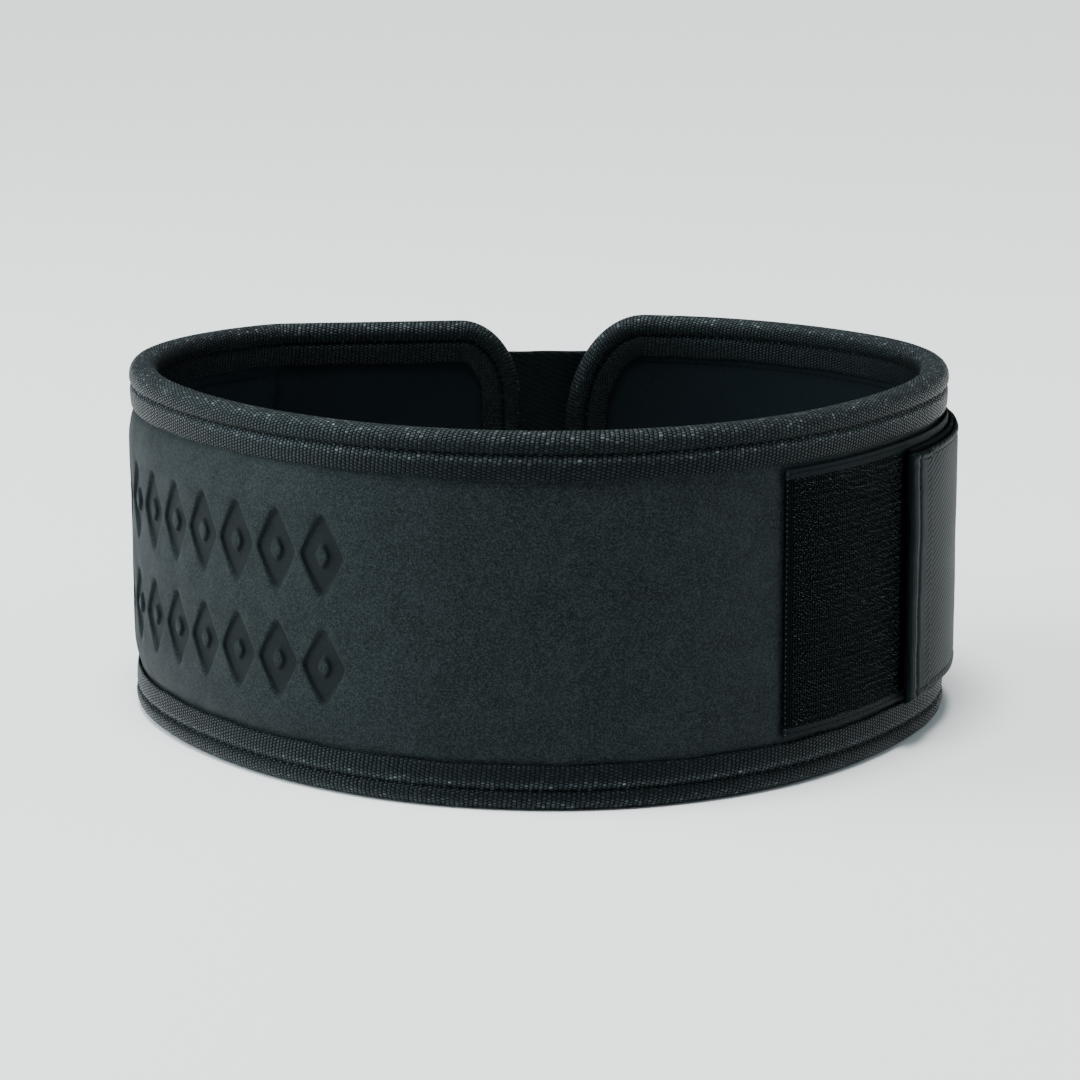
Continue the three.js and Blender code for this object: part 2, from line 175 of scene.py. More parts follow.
# %% [markdown]
# ## Meshes from rows of points
# All the sheets are made the same way: rows of points on the outer face, the same rows
# back on the inner face, and the four borders closed. Points stay in millimetres until
# the mesh is made, and the flat place of each point is kept as its UV, so that a weave
# or a grain can be given in millimetres too.

# %% Mesh helpers
# shares of a rim, closer together towards the border
rim_marks = np.array([0, 0.07, 0.25, 0.55])


def volume_of(points, triangles):
    a, b, c = (points[triangles[:, k]] for k in range(3))
    return float(np.einsum("ij,ij->i", a, np.cross(b, c)).sum() / 6)


def new_piece(name, points, faces, uv):
    """A closed mesh from points in millimetres, faces outwards, a UV for each point."""
    faces = [tuple(int(i) for i in face) for face in faces]
    triangles = np.array([
        (face[0], face[k], face[k + 1]) for face in faces for k in range(1, len(face) - 1)
    ])
    volume = volume_of(points, triangles)
    if volume < 0:
        faces = [face[::-1] for face in faces]
    mesh = bpy.data.meshes.new(name)
    mesh.from_pydata((points * MM).tolist(), [], faces)
    corner = np.zeros(len(mesh.loops), np.int32)
    mesh.loops.foreach_get("vertex_index", corner)
    layer = mesh.uv_layers.new(name="flat")
    layer.data.foreach_set("uv", np.asarray(uv, np.float32)[corner].ravel())
    mesh.shade_smooth()
    piece = bpy.data.objects.new(name, mesh)
    bpy.context.scene.collection.objects.link(piece)
    print(f"{name}: {len(triangles)} triangles, {abs(volume) / 1000:.1f} cm3")
    return piece


def strip_faces(columns, rows):
    """Quads of a closed strip whose columns each hold 2 * rows points, round its section."""
    around = 2 * rows
    i, j = np.meshgrid(np.arange(columns - 1), np.arange(around), indexing="ij")
    k = (j + 1) % around
    here, ahead = i * around, (i + 1) * around
    band = np.stack([here + j, ahead + j, ahead + k, here + k], -1)
    j = np.arange(rows - 1)
    cap = np.stack([j, j + 1, around - 2 - j, around - 1 - j], -1)
    last = (columns - 1) * around
    return np.concatenate([band.reshape(-1, 4), cap, last + cap[:, ::-1]])


def spread(length, step, rim):
    """Distances from 0 to a length, close together within a rim at both ends."""
    ends = rim_marks * rim
    count = max(2, round((length - 2 * rim) / step) + 1)
    inside = np.linspace(rim, length - rim, count)
    return np.concatenate([ends, inside, length - ends[::-1]])


def rounded(gap, rim, least=0.2):
    """How full a wall is at a distance from its border: its edge is a quarter round."""
    t = np.clip(gap / rim, 0, 1)
    return np.maximum(np.sqrt(1 - (1 - t) ** 2), least)


def strip(name, track, stations, shares, low, high, inner, outer, rim, skew=None):
    """A closed sheet on a track. low, high, inner and outer give its borders and faces."""
    s = np.repeat(stations[:, None], len(shares), axis=1)
    z = low(s) + shares[None, :] * (high(s) - low(s))
    gap = np.minimum.reduce([z - low(s), high(s) - z, s - stations[0], stations[-1] - s])
    middle = (inner(s, z) + outer(s, z)) / 2
    half = (outer(s, z) - inner(s, z)) / 2 * rounded(gap, rim)
    at = s if skew is None else s + skew(s, z)
    rows = [track.place(at, middle + half, z), track.place(at, middle - half, z)[:, ::-1]]
    points = np.concatenate(rows, axis=1).reshape(-1, 3)
    flat = np.stack([s, z], axis=-1)
    uv = np.concatenate([flat, flat[:, ::-1]], axis=1).reshape(-1, 2)
    return new_piece(name, points, strip_faces(len(stations), len(shares)), uv)


# %% [markdown]
# ## Small unevenness
# Nothing sewn by hand is quite even. A few waves with chosen lengths and a fixed seed
# give a slow wander along a seam, or low hills over a face, the same on every run.

# %% Wander and hills
# lengths of a wander's waves, each as high as it is long, as shares of the first
wander_waves = (1.0, 0.53, 0.31)
hill_count, hill_crest = 6, 3.5


def wander(station, length, seed):
    """A slow wave between about -1 and 1 along a station."""
    draw = np.random.default_rng(seed)
    total = 0.0
    for part in wander_waves:
        phase = 2 * np.pi * station / (length * part)
        total = total + part * np.sin(phase + draw.uniform(0, 2 * np.pi))
    return total / sum(wander_waves)


def hills(s, z, length, seed):
    """Low hills between about -1 and 1 over a face."""
    draw = np.random.default_rng(seed)
    total = 0.0
    for _ in range(hill_count):
        angle = draw.uniform(0, np.pi)
        wave = length * draw.uniform(0.6, 1.6)
        phase = 2 * np.pi * (s * math.cos(angle) + z * math.sin(angle)) / wave
        total = total + np.sin(phase + draw.uniform(0, 2 * np.pi))
    return total / hill_crest


# %% [markdown]
# ## The body's outline and levels
# Both ends of the strip have rounded corners, as quarter ellipses. Levels are counted
# outwards from the middle of the wall, each from the one below it, and they are the
# levels that the frame's solids have.

# %% Outline and levels
wall = 5.4
leather_thickness = 2.0
clearance = 0.3
tape_thickness = 1.0
tape_depth = 12.5
roll_depth = 5.8
edge_room = 0.5
pad_rise, lining_rise = 2.0, 0.6
pad_gap = 0.5
pad_edge = tape_depth + pad_gap
pad_ramp, pad_shoulder = 9.0, 0.8
left_corner = (19.0, 25.0)
right_corner = (25.0, 36.0)
tape_grip = tape_thickness + edge_room

panel_face = wall / 2
panel_back = panel_face - leather_thickness
lining_face = -wall / 2
lining_back = panel_back - clearance
tape_inner = panel_face + clearance
tape_outer = tape_inner + tape_thickness

# share of the strip from its left end, how full the pad is
pad_fills = [
    (0, 0.2), (0.1, 0.6), (0.18, 0.6), (0.25, 1.0), (0.43, 0.8), (0.57, 0.2), (1, 0.2),
]
fill_softness = 8.0


def corner_drop(distance, corner, inset):
    length, height = corner[0] - inset, corner[1] - inset
    x = 1 - np.clip(distance / length, 0, 1)
    return height * (1 - np.sqrt(1 - x * x))


def outline_low(inset):
    """The lower border of the strip, drawn in by an inset, as a function of the station."""
    def low(s):
        drop = np.maximum(
            corner_drop(s - left_end - inset, left_corner, inset),
            corner_drop(right_end - inset - s, right_corner, inset),
        )
        return inset + drop
    return low


def upper(low):
    """The border that mirrors a lower one about the belt's half height."""
    return lambda s: belt_height - low(s)


body_low = outline_low(tape_grip)
body_high = upper(body_low)
shares_of_fill, fills = np.array(pad_fills).T
fill_stations = left_end + shares_of_fill * (right_end - left_end)
fill_steps = np.interp(waist.stations, fill_stations, fills)
fill_line = soften(fill_steps, fill_softness / line_step)


def pad_lift(s, z):
    """How far the pad has risen, from 0 at the tape to the fill in the middle."""
    ends = [s - left_end - left_corner[0], right_end - right_corner[0] - s]
    gap = np.minimum.reduce([z, belt_height - z, *ends]) - pad_edge
    t = np.clip(gap / pad_ramp, 0, 1)
    return np.interp(s, waist.stations, fill_line) * np.sin(t * np.pi / 2) ** pad_shoulder


# %% [markdown]
# ## Leather panel
# The leather is a soft full grain side, pressed with a hot die: two rows of lozenges
# with a smooth floor and rounded shoulders, where the pad under the leather bulges
# back. A plain grid would break their slanting edges into steps, so rings of points
# follow each lozenge, and a Delaunay triangulation joins them with a coarser grid.

# %% Pressed lozenges
lozenge_width = 14.0
lozenge_pitch = 16.0
lozenge_stroke = 4.0
lozenge_depth = 1.0
lozenge_count = 8
ornament_start = -57.0
lozenge_rounding = 0.9
# share of the belt's height: middle, height
ornament_rows = [(0.64, 0.235), (0.34, 0.22)]
# distance into the pressed stroke, share of its depth
press_profile = np.array([
    (-0.95, 0.0), (-0.5, 0.04), (-0.24, 0.13), (-0.09, 0.3), (0.04, 0.6),
    (0.15, 0.87), (0.27, 0.97), (0.42, 1.0),
])
lozenges = [
    (ornament_start - k * lozenge_pitch, middle * belt_height, height * belt_height)
    for middle, height in ornament_rows
    for k in range(lozenge_count)
]


def rhomb(x, y, height):
    """Distance out of a rhomb's border, with its corners a little rounded."""
    across, up = lozenge_width / 2, height / 2
    slant = across * up / math.hypot(across, up)
    r = lozenge_rounding
    near = np.sqrt(x * x + r * r) / across + np.sqrt(y * y + r * r) / up
    return (near - 1 - r / across * 0.5) * slant


def press_at(s, z):
    """Share of the die's depth at each point of the panel."""
    pressed = np.zeros_like(s)
    for middle, centre, height in lozenges:
        near = np.abs(s - middle) < lozenge_width
        out = rhomb(s[near] - middle, z[near] - centre, height)
        into = np.minimum(-out, out + lozenge_stroke)
        depth = np.interp(into, press_profile[:, 0], press_profile[:, 1])
        pressed[near] = np.maximum(pressed[near], depth)
    return pressed


def lozenge_ring(middle, centre, height, out, count):
    """Points round a lozenge at one distance out of its border, found by halving."""
    angle = np.linspace(0, 2 * np.pi, count, endpoint=False)
    low, high = np.zeros(count), np.full(count, 2 * height)
    for _ in range(30):
        half = (low + high) / 2
        inside = rhomb(half * np.cos(angle), half * np.sin(angle), height) < out
        low, high = np.where(inside, half, low), np.where(inside, high, half)
    return np.stack([middle + low * np.cos(angle), centre + low * np.sin(angle)], axis=1)


# %% [markdown]
# The hook tape is sewn through the leather, which pulls the leather in along its
# border. The grid has extra rows there, so that this shallow dip is real.

# %% The leather's relief
patch_width = 74.0
patch_start = 71.0
patch_inset = 14.0
patch_low = (belt_height - patch_width) / 2
patch_high = belt_height - patch_low
patch_end = right_end - patch_inset
dip_depth, dip_width = 0.3, 1.6
leather_hill, leather_hill_length = 0.16, 60.0


def patch_distance(s, z):
    """Distance out of the hook tape's border, negative under it."""
    across = np.maximum(patch_start - s, s - patch_end)
    upright = np.maximum(patch_low - z, z - patch_high)
    outside = np.hypot(np.maximum(across, 0), np.maximum(upright, 0))
    return np.where((across > 0) | (upright > 0), outside, np.maximum(across, upright))


def leather_level(s, z):
    level = panel_face + pad_rise * pad_lift(s, z)
    on_pad = np.clip(pad_lift(s, z) * 3, 0, 1)
    level = level + leather_hill * hills(s, z, leather_hill_length, 3) * on_pad
    level = level - dip_depth * bell(np.maximum(patch_distance(s, z), 0), dip_width)
    return level - lozenge_depth * press_at(s, z)


# %% The leather's mesh
leather_step, border_step, border_rim = 2.4, 2.2, 9.0
grid_inset, border_room, ring_room = 3, 0.8, 1.3
ring_points = 60
# distances out of a lozenge's border that get a ring on its pressed floor
floor_rings = [-1.2, -2.0, -2.8]
inner_reach = 0.6
dip_offsets = [0.0, 0.7, 1.5, 2.6]
merge_within = 1e-4
pressed_from = 0.25


def grid_marks(low, high, step, lines, offsets):
    """Marks from low to high, with further ones at offsets on both sides of some lines."""
    marks = list(np.arange(low, high, step))
    extra = [line + side * offset for line in lines for side in (-1, 1) for offset in offsets]
    marks = [m for m in marks if all(abs(m - e) > step / 3 for e in extra)]
    return np.array(sorted(marks + [e for e in extra if low < e < high]))


def leather_panel():
    border_s = spread(right_end - left_end - 2 * tape_grip, border_step, border_rim)
    border_s = border_s + left_end + tape_grip
    lower = np.stack([border_s, body_low(border_s)], axis=1)
    border = np.concatenate([lower, [(s, belt_height - z) for s, z in lower[::-1]]])
    shoulder = [-into for into in press_profile[:, 0]]
    inner_shoulder = [-lozenge_stroke - out for out in shoulder[::-1]]
    rings = [
        lozenge_ring(middle, centre, height, out, ring_points)
        for middle, centre, height in lozenges
        for out in [*shoulder, *floor_rings, *inner_shoulder]
        if out > -lozenge_stroke - inner_reach
    ]
    across = grid_marks(left_end + grid_inset, right_end - grid_inset, leather_step,
                        [patch_start], dip_offsets)
    edges = [pad_edge, belt_height - pad_edge, pad_edge + 1, belt_height - pad_edge - 1]
    upright = grid_marks(grid_inset, belt_height - grid_inset, leather_step,
                         [patch_low, patch_high, *edges], dip_offsets)
    s, z = (values.ravel() for values in np.meshgrid(across, upright))
    keep = (z > body_low(s) + border_room) & (z < body_high(s) - border_room)
    for middle, centre, height in lozenges:
        keep &= rhomb(s - middle, z - centre, height) > ring_room
    inside = np.stack([s[keep], z[keep]], axis=1)
    centres = np.array([(middle, centre) for middle, centre, height in lozenges])
    front = np.concatenate([border, inside, *rings, centres])
    loop = [(i, (i + 1) % len(border)) for i in range(len(border))]
    joined = delaunay_2d_cdt(list(front), loop, [], 0, merge_within)
    corners, faces, origins = joined[0], joined[2], joined[3]
    flat = np.array([tuple(corner) for corner in corners])
    ring = [origins.index([i]) for i in range(len(border))]
    under_faces = delaunay_2d_cdt(list(border), loop, [], 0, merge_within)[2]
    s, z = flat.T
    points = waist.place(s, leather_level(s, z), z)
    back_s, back_z = border.T
    back = waist.place(back_s, panel_back, back_z)
    count, n = len(points), len(border)
    rim = [(count + i, count + (i + 1) % n, ring[(i + 1) % n], ring[i]) for i in range(n)]
    under = [tuple(count + i for i in face)[::-1] for face in under_faces]
    piece = new_piece("leather_panel_skin", np.concatenate([points, back]),
                      [*faces, *rim, *under], np.concatenate([flat, border]))
    pressed = np.clip(np.concatenate([press_at(s, z), np.zeros(n)]) / pressed_from, 0, 1)
    layer = piece.data.attributes.new("pressed", "FLOAT", "POINT")
    layer.data.foreach_set("value", pressed.astype(np.float32))
    return piece


leather = leather_panel()

# %% [markdown]
# ## Padded lining
# A thin closed foam with a brushed fabric face. Where the belt folds sharply the foam
# is squeezed into one deep crease with a soft bulge on each side. It is one of the
# padded pieces, and is pressed flat all round under the tape.

# %% The lining
lining_step = 2.4
fold_station = crease + 7.0
crease_depth, crease_width = 1.0, 1.3
bulge_rise, bulge_place, bulge_width = 0.5, 5.0, 3.4
fold_sway, fold_sway_length = 0.8, 60.0
fold_step, fold_reach = 0.75, 9.5
lining_hill, lining_hill_length = 0.14, 42.0


def lining_level(s, z):
    full = pad_lift(s, z)
    away = np.abs(s - fold_station - fold_sway * wander(z, fold_sway_length, 8))
    bulges = bulge_rise * bell(away - bulge_place, bulge_width)
    fold = crease_depth * bell(away, crease_width) - bulges
    inside = np.clip((np.minimum(z, belt_height - z) - pad_edge) / pad_ramp, 0, 1)
    level = lining_face - lining_rise * full + fold * inside
    return level - lining_hill * hills(s, z, lining_hill_length, 5) * inside


def padded_lining():
    stations = spread(right_end - left_end - 2 * tape_grip, lining_step, 8.0)
    stations = stations + left_end + tape_grip
    near = fold_station + np.arange(0.5 - fold_reach, fold_reach, fold_step)
    far = [s for s in stations if abs(s - fold_station) > fold_reach]
    stations = np.array(sorted([*far, *near]))
    shares = spread(1.0, 0.024, 0.05)
    return strip("padded_lining_skin", waist, stations, shares, body_low, body_high,
                 lining_level, lambda s, z: np.full_like(s, lining_back), 0.6)


lining = padded_lining()

# %% [markdown]
# ## Edge binding
# A woven tape, folded over the raw edge and sewn through once, all round the belt. The
# thread pulls a groove, and the tape outside it stands up as a round roll. Its section
# is a short table of places, swept round the outline. The groove is a little deeper at
# each stitch, which makes the tape pucker.

# %% The binding's section and sweep
tape_stitch_pitch = 3.2
pucker = 0.16
# depths painted grey as top light: from the edge over the crown, and the row under the groove
lit_crown_width, lit_row_depth, lit_row_share = 2.2, 7.1, 0.8
# how much of the painted top light the upright ends get, as a share of the level runs
upright_lit_share = 0.15
groove_width = 0.75
roll_swell, swell_length = 0.022, 47.0
edge_sway, sway_length, sway_from = 0.22, 31.0, 10
sweep_step, corner_points = 1.05, 1.6
# level outwards, depth in from the belt's edge: from the sewn edge to the fold's crown
tape_rows = [
    (3.02, 12.4), (3.25, 12.56), (3.55, 12.5), (3.76, 12.1), (3.88, 11.4), (3.99, 10.3),
    (4.07, 9.1), (4.1, 8.1), (4.05, 7.3), (3.85, 6.7), (3.52, 6.2), (3.4, 5.8),
    (3.52, 5.5), (3.85, 5.2), (4.13, 4.75), (4.24, 4.1), (4.22, 3.3), (4.08, 2.5),
    (3.8, 1.75), (3.3, 1.05), (2.6, 0.5), (1.75, 0.16), (0.8, 0.02),
]


def outline_loop():
    """The belt's outline from above its lower edge round: station, height, inward normal."""
    low = left_end + left_corner[0]
    high = right_end - right_corner[0]
    straight = np.linspace(low, high, round((high - low) / sweep_step) + 1)
    rows = [(s, 0.0, 0.0, 1.0) for s in straight]
    for corner, centre, side in ((right_corner, high, 1), (left_corner, low, -1)):
        length, height = corner
        steps = round(corner_points * height / sweep_step)
        for up in (-side, side):
            angles = np.linspace(0, np.pi / 2, steps + 1)
            angles = angles if up == -side else angles[::-1]
            for angle in angles[1:] if up == -side else angles[:-1]:
                normal = np.array([math.sin(angle) / length, math.cos(angle) / height])
                normal /= np.linalg.norm(normal)
                base = height if up < 0 else belt_height - height
                z = base + up * height * math.cos(angle)
                s = centre + side * length * math.sin(angle)
                rows.append((s, z, -side * normal[0], -up * normal[1]))
            if up == -side:
                rows.append((centre + side * length, belt_height / 2, -side, 0.0))
        if side == 1:
            rows += [(s, belt_height, 0.0, -1.0) for s in straight[::-1]]
    return np.array(rows)


def edge_binding():
    loop = outline_loop()
    half = np.array(tape_rows)
    fold_inside = [(-tape_inner, tape_thickness), (tape_inner, tape_thickness)]
    section = np.concatenate([half, half[::-1] * [-1, 1], fold_inside])
    level, depth = section.T
    step = np.hypot(*np.diff(np.concatenate([loop, loop[:1]])[:, :2], axis=0).T)
    along = np.concatenate([[0.0], np.cumsum(step)])[:-1]
    total = step.sum()
    pitch = total / round(total / tape_stitch_pitch)
    pull = np.cos(2 * np.pi * along / pitch)[:, None]
    groove = bell(depth - roll_depth, groove_width)[None, :] * (np.abs(level) > tape_inner)
    on_roll = (depth < roll_depth)[None, :]
    swell = 1 + roll_swell * wander(along, swell_length, 11)[:, None] * on_roll
    levels = level[None, :] * swell - np.sign(level)[None, :] * pucker * groove * pull
    wave = edge_sway * wander(along, sway_length, 12)[:, None] * (depth > sway_from)[None, :]
    depths = depth[None, :] + wave
    s = loop[:, 0:1] + loop[:, 2:3] * depths
    z = loop[:, 1:2] + loop[:, 3:4] * depths
    points = waist.place(s, levels, z).reshape(-1, 3)
    n, m = s.shape
    i, j = np.meshgrid(np.arange(n), np.arange(m), indexing="ij")
    a, b = (i + 1) % n, (j + 1) % m
    faces = np.stack([i * m + j, a * m + j, a * m + b, i * m + b], -1).reshape(-1, 4)
    across = np.concatenate([[0.0], np.cumsum(np.hypot(*np.diff(section, axis=0).T))])
    uv = np.stack(np.broadcast_arrays(along[:, None], across[None, :]), -1).reshape(-1, 2)
    piece = new_piece("edge_binding_tape", points, faces, uv)
    layer = piece.data.uv_layers["flat"].data
    flat = np.zeros(len(layer) * 2, np.float32)
    layer.foreach_get("uv", flat)
    flat = flat.reshape(-1, 4, 2)
    jump = flat.max(1) - flat.min(1)
    over_u = (jump[:, 0:1] > total / 2) & (flat[:, :, 0] < total / 2)
    over_v = (jump[:, 1:2] > across[-1] / 2) & (flat[:, :, 1] < across[-1] / 2)
    flat[..., 0] += over_u * total
    flat[..., 1] += over_v * (across[-1] + 2 * tape_inner)
    layer.foreach_set("uv", flat.ravel())
    # painted top light: marks the roll's crown and the row past the groove to be made grey as if lit, in
    # full on the level runs and faint on the upright ends
    outside = (level > 0) * bell(depth - lit_row_depth, groove_width) * lit_row_share
    painted_top_light = np.clip(bell(depth, lit_crown_width) + outside, 0, 1)
    level_run = upright_lit_share + (1 - upright_lit_share) * loop[:, 3] ** 2
    layer = piece.data.attributes.new("painted_top_light", "FLOAT", "POINT")
    layer.data.foreach_set("value", (level_run[:, None] * painted_top_light).astype(np.float32).ravel())
    return piece, loop, along


binding, tape_loop, tape_along = edge_binding()

# %% [markdown]
# ## The strap's own line
# The webbing is sewn on the left flap's outside, leaves the belt at the crease, crosses
# the open back and lies on the hooks at the front right. Its line joins the belt's
# line at both ends, and one gentle curve carries it across the gap.

# %% The strap track
patch_thickness = 1.0
loop_thickness = 1.0
strap_width = 70.0
strap_thickness = 1.2
sewn_length = 47.0
strap_reach = 123.0
touchdown = 22.0
flight_pull = 0.3
sewn_rise, rise_softness = 0.06, 14.0
# share from the sewn end to the free end, rise of the middle as a share of the width
strap_rises = [(0, sewn_rise), (0.36, 0.055), (0.78, -0.02), (1, -0.027)]

patch_inner = panel_face + pad_fills[-1][1] * pad_rise + clearance
patch_outer = patch_inner + patch_thickness
strap_inner = patch_outer + clearance + loop_thickness + clearance
sewn_inner = max(tape_outer, panel_face + pad_fills[1][1] * pad_rise) + clearance
landing = right_end - touchdown


def strap_line():
    lying = waist.place(np.arange(strap_reach, landing, 1.0), strap_inner, 0.0)[:, :2]
    sewn_stations = np.arange(crease, crease + sewn_length + 0.5, 1.0)
    sewn = waist.place(sewn_stations, sewn_inner, 0.0)[:, :2]
    leave = (lying[-1] - lying[-6]) / np.linalg.norm(lying[-1] - lying[-6])
    reach = (sewn[5] - sewn[0]) / np.linalg.norm(sewn[5] - sewn[0])
    span = np.linalg.norm(sewn[0] - lying[-1])
    t = np.linspace(0, 1, round(span))[1:-1, None]
    first, last = lying[-1], sewn[0]
    pull_a = first + leave * span * flight_pull
    pull_b = last - reach * span * flight_pull
    free = (first * (1 - t) ** 3 + 3 * pull_a * t * (1 - t) ** 2
            + 3 * pull_b * t ** 2 * (1 - t) + last * t ** 3)
    return Track(np.concatenate([lying, free, sewn]))


strap_track = strap_line()
strap_length = strap_track.stations[-1]
landing_station = landing - strap_reach
rise_shares, rises = np.array(strap_rises)[::-1].T
rise_steps = np.interp(strap_track.stations, (1 - rise_shares) * strap_length, rises)
rise_line = soften(rise_steps, rise_softness)


def strap_middle(u):
    return belt_height / 2 + strap_width * np.interp(u, strap_track.stations, rise_line)


print("strap", round(strap_length, 1), "mm long")

# %% [markdown]
# ## Webbing strap
# A flat woven web, 70 mm wide. Its free end is folded back on itself and sewn with one
# row, so the last 14 mm are twice as thick, with a round fold at the tip. The other
# end is sewn down flat with a crossed box of stitches.

# %% The strap
hem_length = 14.0
hem_thickness = 1.2
hem_row = 4.6
edge_row = 2.2
selvage = 2.6
tip_stretch, tip_reach = 0.5, 25.0
box_inset = 4.0
# small relief in millimetres: each height with its widths
seam_sink, hem_seam, edge_seam, edge_seam_share = 0.45, 0.7, 0.55, 0.7
tip_bead, tip_bead_place, tip_bead_width = 0.3, 2.2, 1.2
hem_puff, hem_puff_length = 0.1, 13.0
selvage_bead, selvage_bead_width, selvage_sway = 0.14, 1.1, 0.25
strap_hill, strap_hill_length = 0.1, 34.0
# the free end's skew: height, length and seed of its waves
skew_reach = 30
skew_waves = [(0.5, 52.0, 25), (0.12, 11.0, 26)]


def strap_low(u):
    return strap_middle(u) - strap_width / 2 + selvage_sway * wander(u, 38.0, 21)


def strap_high(u):
    sway = selvage_sway * wander(u, 44.0, 22)
    return strap_middle(u) + strap_width / 2 + sway + tip_stretch * bell(u, tip_reach)


def hem_fold(u):
    """1 on the folded hem, 0 past its cut edge, with a short step between them."""
    return np.clip((hem_length + 0.6 - u) / 1.1, 0, 1)


def strap_outer(u, z):
    top, low = strap_high(u), strap_low(u)
    edge = np.minimum(top - z, z - low)
    on_loops = np.clip((landing_station - u) / 6.0, 0, 1)
    edge_rows = edge_seam_share * on_loops * bell(edge - edge_row, edge_seam)
    seams = bell(u - hem_row, hem_seam) + edge_rows
    tip = tip_bead * bell(u - tip_bead_place, tip_bead_width)
    puffs = hem_puff * hem_fold(u) * wander(z, hem_puff_length, 23)
    level = strap_thickness + hem_thickness * hem_fold(u) + puffs + tip - seam_sink * seams
    bead = selvage_bead * bell(edge - selvage * 0.45, selvage_bead_width)
    return level + bead + strap_hill * hills(u, z, strap_hill_length, 24)


def strap_skew(u, z):
    """The free end isn't cut quite straight, and its fold waves a little."""
    fade = np.clip(1 - u / skew_reach, 0, 1)
    return fade * sum(rise * wander(z, length, seed) for rise, length, seed in skew_waves)


def webbing_strap():
    stations = np.concatenate([
        np.arange(0, 1.3, 0.3),  # the round tip
        np.arange(1.5, 17, 0.45),  # the hem
        np.arange(17.5, strap_length - 1.3, 2.0),
        strap_length - np.arange(1.2, -0.1, -0.4),  # the sewn end's edge
    ])
    shares = spread(1.0, 0.022, 0.03)
    return strip("webbing_strap_web", strap_track, stations, shares, strap_low, strap_high,
                 lambda u, z: np.zeros_like(u), strap_outer, 0.7, strap_skew)


strap = webbing_strap()

# %% [markdown]
# ## Loop strip
# The soft half of the fastener is sewn on the strap's inside, from its free end to
# where it meets the belt. It is a hair wider than the strap, so its dark pile shows as
# a fringe past the strap's edges.

# %% The loop strip
loop_overhang = 1.5
loop_setback = 3.2
pile_roughness = 0.16


def loop_strip():
    half = strap_width / 2 + loop_overhang
    inner = -clearance - loop_thickness
    stations = spread(landing_station - loop_setback, 1.6, 1.2) + loop_setback
    return strip(
        "loop_strip_pile", strap_track, stations, spread(1.0, 0.02, 0.02),
        lambda u: strap_middle(u) - half, lambda u: strap_middle(u) + half,
        lambda u, z: inner - pile_roughness * hills(u, z, 3.4, 31),
        lambda u, z: -clearance + pile_roughness * 0.5 * hills(u, z, 2.9, 32), 0.45)


pile = loop_strip()

# %% [markdown]
# ## Hook patch
# Hook tape is a flat nylon web with a plain selvage at the top and bottom and rows of
# stiff hooks between. The web is a strip as before, drawn in at the belt's end, where
# it follows the outline.

# %% The hook tape's web
web_sink = 0.1
web_face = patch_outer - web_sink
stitch_inset = 0.6
web_selvage = 3.0
patch_seam_sink, patch_seam_width = 0.22, 0.5
patch_hill, patch_hill_length = 0.06, 18.0
patch_corners = outline_low(patch_inset)


def patch_border(s):
    return np.maximum(patch_corners(s), patch_low)


def patch_face(s, z):
    sewn = bell(patch_distance(s, z) + stitch_inset, patch_seam_width)
    relief = patch_hill * hills(s, z, patch_hill_length, 41)
    return web_face - patch_seam_sink * sewn + relief


def hook_web():
    return strip(
        "hook_patch_web", waist, spread(patch_end - patch_start, 1.8, 1.0) + patch_start,
        spread(1.0, 0.02, 0.016), patch_border, upper(patch_border),
        lambda s, z: np.full_like(s, patch_inner - web_sink), patch_face, 0.5)


web = hook_web()

# %% [markdown]
# ## Repeats by Geometry Nodes
# Hooks and stitches are the same small thing hundreds of times over, so a node tree
# places them: it takes points or a line that carries its outward direction, sets one
# copy on each, and makes all of them real at its end. The sizes are named inputs.

# %% Node helpers
def add(tree, kind, inputs=(), **settings):
    """Adds a node with its settings, and sets or links its inputs by name or number."""
    node = tree.nodes.new(kind)
    for name, value in settings.items():
        setattr(node, name, value)
    for name, value in dict(inputs).items():
        if isinstance(value, bpy.types.NodeSocket):
            tree.links.new(value, node.inputs[name])
        else:
            node.inputs[name].default_value = value
    return node


def new_tree(name, sizes):
    """An empty Geometry Nodes tree with a geometry, a material and named sizes as inputs."""
    tree = bpy.data.node_groups.new(name, "GeometryNodeTree")
    tree.interface.new_socket("Geometry", in_out="INPUT", socket_type="NodeSocketGeometry")
    tree.interface.new_socket("Finish", in_out="INPUT", socket_type="NodeSocketMaterial")
    for size in sizes:
        tree.interface.new_socket(size, in_out="INPUT", socket_type="NodeSocketFloat")
    tree.interface.new_socket("Geometry", in_out="OUTPUT", socket_type="NodeSocketGeometry")
    return tree, add(tree, "NodeGroupInput")


def finish_tree(tree, start, copies):
    """Ends a tree: copies made real, given their material and sent out."""
    real = add(tree, "GeometryNodeRealizeInstances", {"Geometry": copies})
    painted = add(tree, "GeometryNodeSetMaterial",
                  {"Geometry": real.outputs[0], "Material": start.outputs["Finish"]})
    smooth = add(tree, "GeometryNodeSetShadeSmooth", {"Geometry": painted.outputs[0]})
    add(tree, "NodeGroupOutput", {"Geometry": smooth.outputs[0]})


